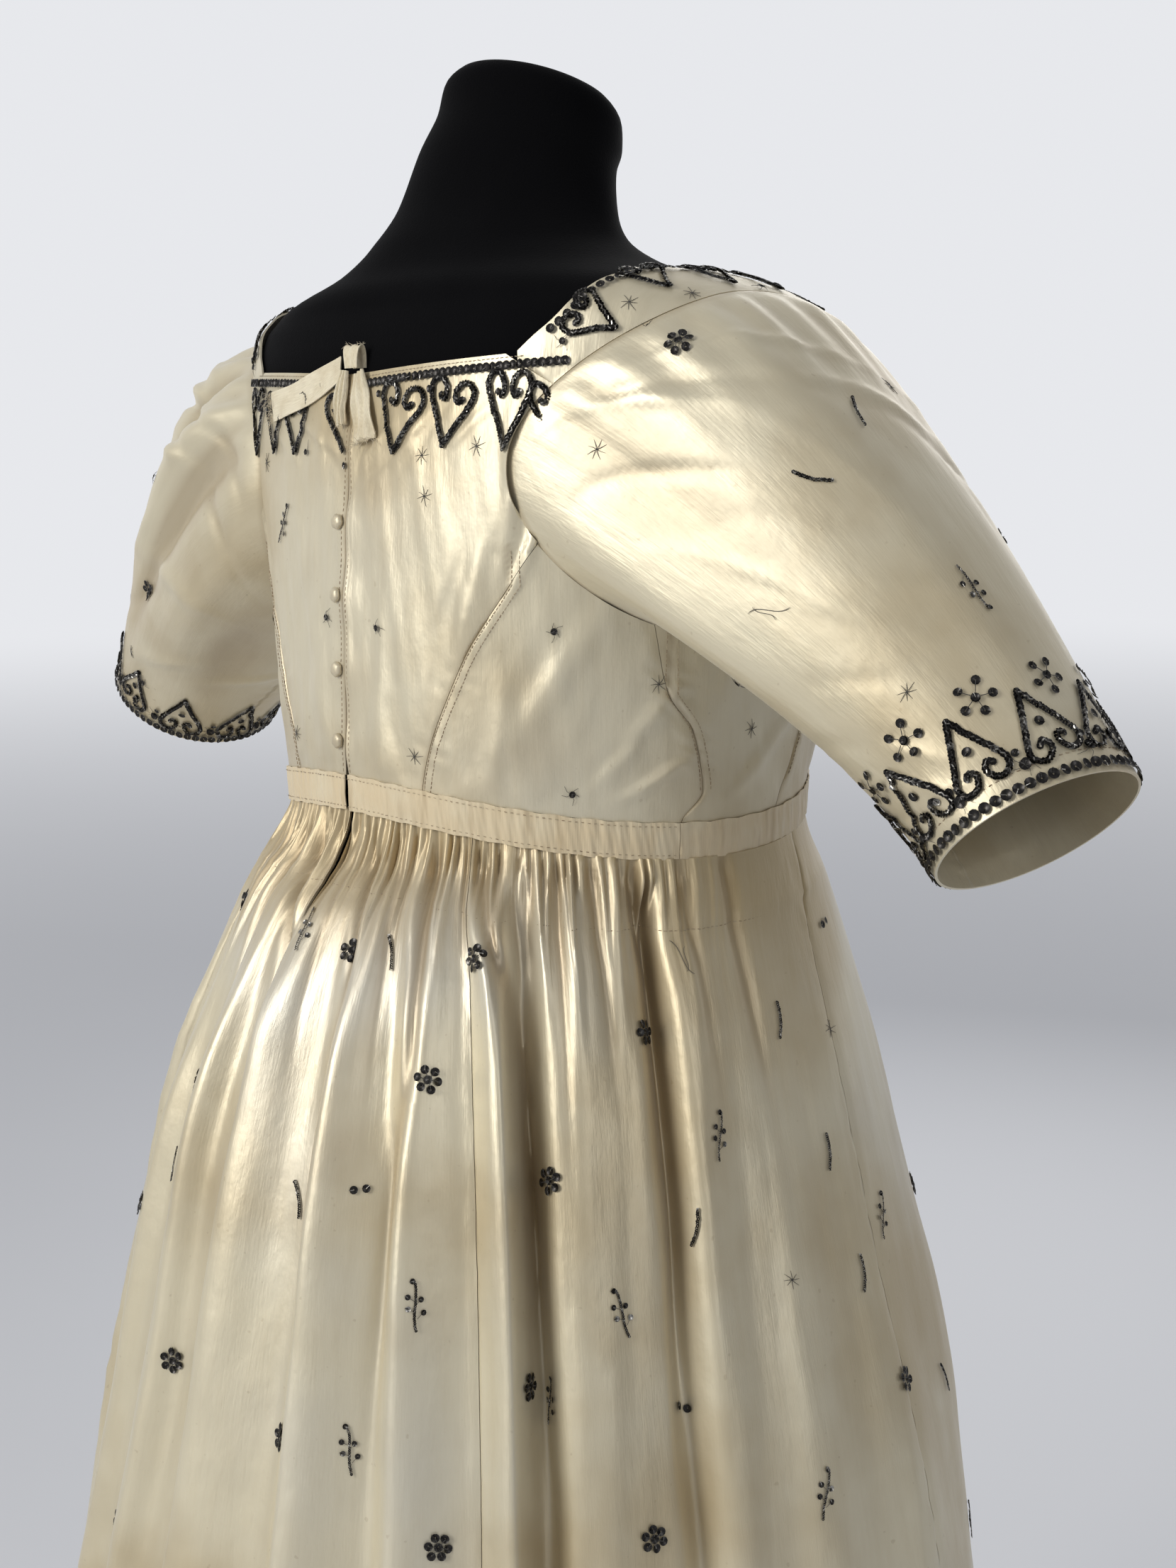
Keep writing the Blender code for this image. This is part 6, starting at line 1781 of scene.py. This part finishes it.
# Embroidery
def build_neckline_work():
    ground, work = bodice_ground(), Needlework(5)
    for angle, height, width, tall, turn, halves in NECK_HEARTS + FRONT_HEARTS:
        work.heart(ground, np.radians(angle), height, width, tall, np.radians(turn), halves)
    corner = np.degrees(as_angle(armhole(armhole_angle(1.334))))
    for first, last in ((5.2, corner - 4.6), (-5.0, -corner + 4.6)):
        angle = np.linspace(first, last, 200)
        height = 1.3295 + 0.005 * np.abs(angle) / 42.0 - 0.0052
        frames = ground.row(np.radians(angle), height, 0.0034, 0.0008)
        work.sequins(frames, 0.0021, (0.0, 0.62))
    angle = np.radians(np.linspace(180.0 - 56.0, 180.0 + 56.0, 300))
    work.sequins(ground.row(angle, np.full(300, STRAP_FRONT_HEIGHT - 0.0052), 0.004, 0.0008), 0.0021)
    made = work.make("neckline_embroidery")
    for side, flip in (("right", False), ("left", True)):
        build_strap_work(side, flip)
    return made


def build_strap_work(side, flip):
    """Sequins along the strap's edges, hearts between them and small motifs."""
    ground, work = strap_ground(flip), Needlework(11 + flip)
    turns = np.radians(np.linspace(33.0, 172.0, 400))
    edge = smooth_read(np.degrees(turns), STRAP_NECK_EDGE[:, 0], STRAP_NECK_EDGE[:, 1])
    work.sequins(ground.row(edge + 0.004, turns, 0.0046, 0.0008), 0.0021, (0.0, 0.62))
    for turn, across, lean in STRAP_HEARTS:
        work.heart(ground, across, np.radians(turn), 0.02, 0.023, lean, "LR")
    for kind, turn, across in STRAP_MOTIFS:
        work.motif(kind, ground, across, np.radians(turn), 0.3)
    work.make("strap_embroidery_" + side)


def build_cuff_work(side):
    ground, work = sleeve_ground(side), Needlework(17 if side == "right" else 19)
    around = np.linspace(0, 2 * np.pi, 600)
    frames = ground.row(np.full(600, 0.972), around, 0.00475, 0.0009)
    frames = tuple(v[:-1] for v in frames)
    work.sequins(frames, sizes().sequin, (0.0, 0.66))
    quarter = -np.pi / 2
    for n, degrees in enumerate(CUFF_HEARTS[side]):
        place = np.radians(degrees)
        work.heart(ground, 0.858, place, 0.0235, 0.03, quarter + 0.06 * (-1) ** n, "LR")
        work.dot(ground, 0.85, place, 0.0, 1.25)
        between = place + np.radians(18.0)
        if side == "right":
            work.big_flower(ground, 0.775, between, quarter, 0.95)
        work.bud(ground, 0.925, between, quarter, 1.5)
        work.pair(ground, 0.905, between, 0.2, 0.9)
    for kind, degrees, along, turn in SLEEVE_MOTIFS[side]:
        work.motif(kind, ground, along, np.radians(degrees), turn + quarter)
    work.make("sleeve_embroidery_" + side)


def build_bodice_work():
    ground, work = bodice_ground(), Needlework(23)
    for kind, angle, height, turn in BODICE_MOTIFS:
        work.motif(kind, ground, np.radians(angle), height, turn)
    work.make("bodice_embroidery")


def build_skirt_work():
    """Motifs where the photograph shows them, and a regular scatter of like ones elsewhere."""
    ground, work = skirt_ground(), Needlework(29)
    for kind, angle, height, turn in SKIRT_MOTIFS:
        work.motif(kind, ground, cloth_of(angle, height), height, turn)
    kinds = ("flower", "sprig", "flower", "comma", "flower", "sprig", "pair")
    for row in range(14):
        height = 1.062 - 0.075 * row
        girth = float(oval(np.pi / 2, *section(SKIRT, height))) * 0.95
        count = int(2 * np.pi * girth / 0.088)
        for n in range(count):
            angle = (n + 0.5 * (row % 2)) * 360.0 / count + 2.5 * np.sin(3.1 * n + row)
            angle = (angle + 180.0) % 360.0 - 180.0
            if -15.0 < angle < 107.0 and height > 0.795:
                continue
            rise = height + 0.006 * np.sin(2.3 * n + 1.7 * row)
            kind = kinds[(n * 2 + row * 3) % len(kinds)]
            work.motif(kind, ground, cloth_of(angle, rise), rise, 0.5 * np.sin(n + row))
    work.make("skirt_embroidery")


# Sewing
def build_stitching():
    ground, work = bodice_ground(), Needlework(41)
    for table, top, shifts in ((SIDE_BACK_SEAM, SIDE_BACK_TOP, (0.0013, 0.005)),
                               (UNDERARM_SEAM, UNDERARM_TOP, (-0.0014, 0.004)),
                               (FRONT_SEAM, FRONT_SEAM_TOP, (0.0014,))):
        height = np.linspace(1.14, top - 0.004, 120)
        for sign in (1.0, -1.0):
            for shift in shifts:
                angle = np.radians(smooth_read(height, table[:, 0], table[:, 1])) + shift / TRUNK_RADIUS
                work.stitches(ground, sign * angle, height)
    height = np.linspace(1.145, 1.322, 160)
    for away in (0.0021, -0.003):
        work.stitches(ground, np.full(160, away / NECKLINE_RADIUS), height, 0.0026)
    for first, last in ((2.0, 46.0), (-2.0, -46.0)):
        angle = np.linspace(first, last, 120)
        work.stitches(ground, np.radians(angle), 1.3278 + 0.005 * np.abs(angle) / 42.0, 0.0024)
    band = Ground(band_point, 0.004, 0.0008)
    for sign in (1.0, -1.0):
        angle = np.radians(np.linspace(0.9, 74.0, 160)) * sign
        for level in (0.86, -0.86):
            height = WAIST_HEIGHT + band_rise(angle) + level * BAND_HALF_WIDTH
            work.stitches(band, angle, height, 0.003, 0.0012)
    ground = skirt_ground()
    for sign in (1.0, -1.0):
        cloth = np.linspace(2.5, 175.0, 700) * sign
        work.stitches(ground, cloth, stitched_line(np.abs(cloth)), 0.0026, 0.0015)
    for side in ("right", "left"):
        around = np.linspace(0, 2 * np.pi, 400)
        work.stitches(sleeve_ground(side), np.full(400, 0.93), around, 0.003, 0.0014)
    work.make("silk_stitches", metal="silk")


def build_loose_threads():
    """Ends of broken thread that hang from seams, hems and worn motifs."""
    work = Needlework(43)
    starts = ((-0.1335, 0.026, 1.113), (-0.132, 0.034, 1.112), (-0.1345, 0.018, 1.1125),
              (-0.001, 0.1235, 1.098), (0.004, 0.112, 1.328), (0.33, 0.045, 1.215))
    for n, start in enumerate(starts):
        aim = unit(np.array((start[0], start[1], -0.25)) * (1.0, 1.0, 0.35))
        s = np.linspace(0, 1, 12)[:, None]
        curl = np.stack([np.sin(5 * s[:, 0] + n), np.cos(4 * s[:, 0] + n), np.zeros(12)], -1) * 0.0016 * s
        work.thread(np.array(start) + aim * 0.004 * s + curl + (0, 0, -0.012) * s**1.4, 0.0001, 0.8)
    work.make("loose_threads", threads="silk")


# The stage
def build_stage():
    f = Finish("studio_floor")
    x, y, _ = f.parts(f.place())
    away = (x * x + y * y) ** 0.5
    far = away.between(0.6, 15.0)
    glow = f.node("ShaderNodeEmission", None, {"Color": backdrop_tone(f, f.place()), "Strength": 1.0})
    floor_tone = f.blend(f.noise(f.place(), 1.5, 2.0) * 0.25, colour("floor"), (0.78, 0.79, 0.81, 1.0))
    f.surface(Base_Color=floor_tone, Roughness=0.8)
    mixed = f.node("ShaderNodeMixShader", None, {0: far, 1: Value(f, f.shader.outputs[0]), 2: glow})
    f.feed(f.tree.nodes["Material Output"].inputs["Surface"], mixed)
    mesh = bpy.data.meshes.new("studio_floor")
    reach = 40.0
    mesh.from_pydata([(-reach, -reach, 0), (reach, -reach, 0), (reach, reach, 0), (-reach, reach, 0)], [],
                     [(0, 1, 2, 3)])
    mesh.materials.append(f.material)
    floor = bpy.data.objects.new("studio_floor", mesh)
    bpy.context.scene.collection.objects.link(floor)
    world = bpy.data.worlds.new("studio")
    bpy.context.scene.world = world
    world.use_nodes = True
    sky = Finish.of(world.node_tree)
    sky.feed(world.node_tree.nodes["Background"].inputs["Color"],
             backdrop_tone(sky, sky.node("ShaderNodeTexCoord", output=0)))
    bpy.context.scene.view_settings.view_transform = "Standard"
    light("window", (0.35, 2.3, 2.0), (0.0, 0.0, 1.1), 0.9, 1.3, 41.0, (1.0, 0.985, 0.95))
    light("bounce", (-2.2, 0.5, 1.9), (0.0, 0.0, 1.1), 0.9, 1.2, 7.0, (0.98, 0.985, 1.0))
    light("front_fill", (1.4, -2.4, 2.0), (0.0, 0.0, 1.0), 1.6, 1.6, 20.0, (1.0, 0.99, 0.97))
    build_camera()


def backdrop_tone(f, direction):
    """The studio's paper: bright behind the gown as the photograph sees it, dimmer elsewhere."""
    flat = f.node("ShaderNodeVectorMath", {"operation": "NORMALIZE"}, {0: direction})
    x, y, _ = f.parts(flat)
    ahead = x * CAMERA_FORWARD[0] + y * CAMERA_FORWARD[1]
    return f.blend(ahead.between(0.0, 0.85), BACKDROP_DIM, BACKDROP_LIT)


def light(name, place, aim, width, tall, power, tint):
    lamp = bpy.data.lights.new(name, "AREA")
    lamp.shape = "RECTANGLE"
    lamp.size, lamp.size_y, lamp.energy, lamp.color = width, tall, power, tint
    thing = bpy.data.objects.new(name, lamp)
    thing.location = place
    thing.rotation_euler = (Vector(aim) - Vector(place)).to_track_quat("-Z", "Y").to_euler()
    bpy.context.scene.collection.objects.link(thing)


def build_camera():
    lens = bpy.data.cameras.new("photo_camera")
    lens.lens, lens.sensor_width, lens.sensor_fit = CAMERA_LENS, CAMERA_SENSOR, "AUTO"
    lens.clip_start, lens.clip_end = 0.02, 200.0
    camera = bpy.data.objects.new("photo_camera", lens)
    forward, right = Vector(CAMERA_FORWARD).normalized(), Vector(CAMERA_RIGHT)
    right = (right - forward * right.dot(forward)).normalized()
    up = right.cross(forward)
    turn = Matrix((right, up, -forward)).transposed().to_4x4()
    camera.matrix_world = Matrix.Translation(CAMERA_PLACE) @ turn
    bpy.context.scene.collection.objects.link(camera)
    bpy.context.scene.camera = camera


# Operators and panel
def make_operator(label, words, build, *values):
    """An operator that runs one building function."""
    def execute(self, context):
        build(*values)
        return {"FINISHED"}
    name = label.lower().replace(" ", "_")
    return type("GOWN_OT_" + name, (bpy.types.Operator,),
                {"bl_idname": "gown." + name, "bl_label": label, "__doc__": words, "execute": execute})


OPERATORS = (
    make_operator("Dress Form", "Build the velvet form", build_form),
    make_operator("Stand", "Build the pole and base", build_stand),
    make_operator("Bodice", "Build the satin panels of the bodice", build_bodice),
    make_operator("Straps", "Build the shoulder straps", build_straps),
    make_operator("Waistband", "Build the ribbon waistband", build_waistband),
    make_operator("Skirt", "Build the gathered skirt", build_skirt),
    make_operator("Right Sleeve", "Build the wearer's right sleeve", build_sleeve, "right"),
    make_operator("Left Sleeve", "Build the wearer's left sleeve", build_sleeve, "left"),
    make_operator("Buttons", "Build the covered buttons", build_buttons),
    make_operator("Tie", "Build the knotted tape and its frayed ends", build_tie),
    make_operator("Neckline Embroidery", "Sew hearts and sequins round the neck", build_neckline_work),
    make_operator("Right Cuff Embroidery", "Sew the right sleeve's metalwork", build_cuff_work, "right"),
    make_operator("Left Cuff Embroidery", "Sew the left sleeve's metalwork", build_cuff_work, "left"),
    make_operator("Bodice Embroidery", "Sew the bodice's small motifs", build_bodice_work),
    make_operator("Skirt Embroidery", "Sew the skirt's motifs", build_skirt_work),
    make_operator("Stitching", "Sew the seams and hems", build_stitching),
    make_operator("Loose Threads", "Add the broken thread ends", build_loose_threads),
    make_operator("Stage", "Build the floor, the lights and the camera", build_stage),
)


class GOWN_PT_panel(bpy.types.Panel):
    """Lists the gown's sizes, colours and pieces"""
    bl_idname = "GOWN_PT_panel"
    bl_label = "Regency Gown"
    bl_space_type = "VIEW_3D"
    bl_region_type = "UI"
    bl_category = "Gown"

    def draw(self, context):
        for group in (context.scene.gown_sizes, context.scene.gown_colours):
            for name in group.__annotations__:
                self.layout.prop(group, name)
        for operator in OPERATORS:
            self.layout.operator(operator.bl_idname)


CLASSES = (GownSizes, GownColours, *OPERATORS, GOWN_PT_panel)


def register():
    for item in CLASSES:
        bpy.utils.register_class(item)
    bpy.types.Scene.gown_sizes = PointerProperty(type=GownSizes)
    bpy.types.Scene.gown_colours = PointerProperty(type=GownColours)


def unregister():
    del bpy.types.Scene.gown_colours
    del bpy.types.Scene.gown_sizes
    for item in reversed(CLASSES):
        bpy.utils.unregister_class(item)


def main():
    register()
    for operator in OPERATORS:
        getattr(bpy.ops.gown, operator.bl_idname.split(".")[1])()


if __name__ == "__main__":
    main()
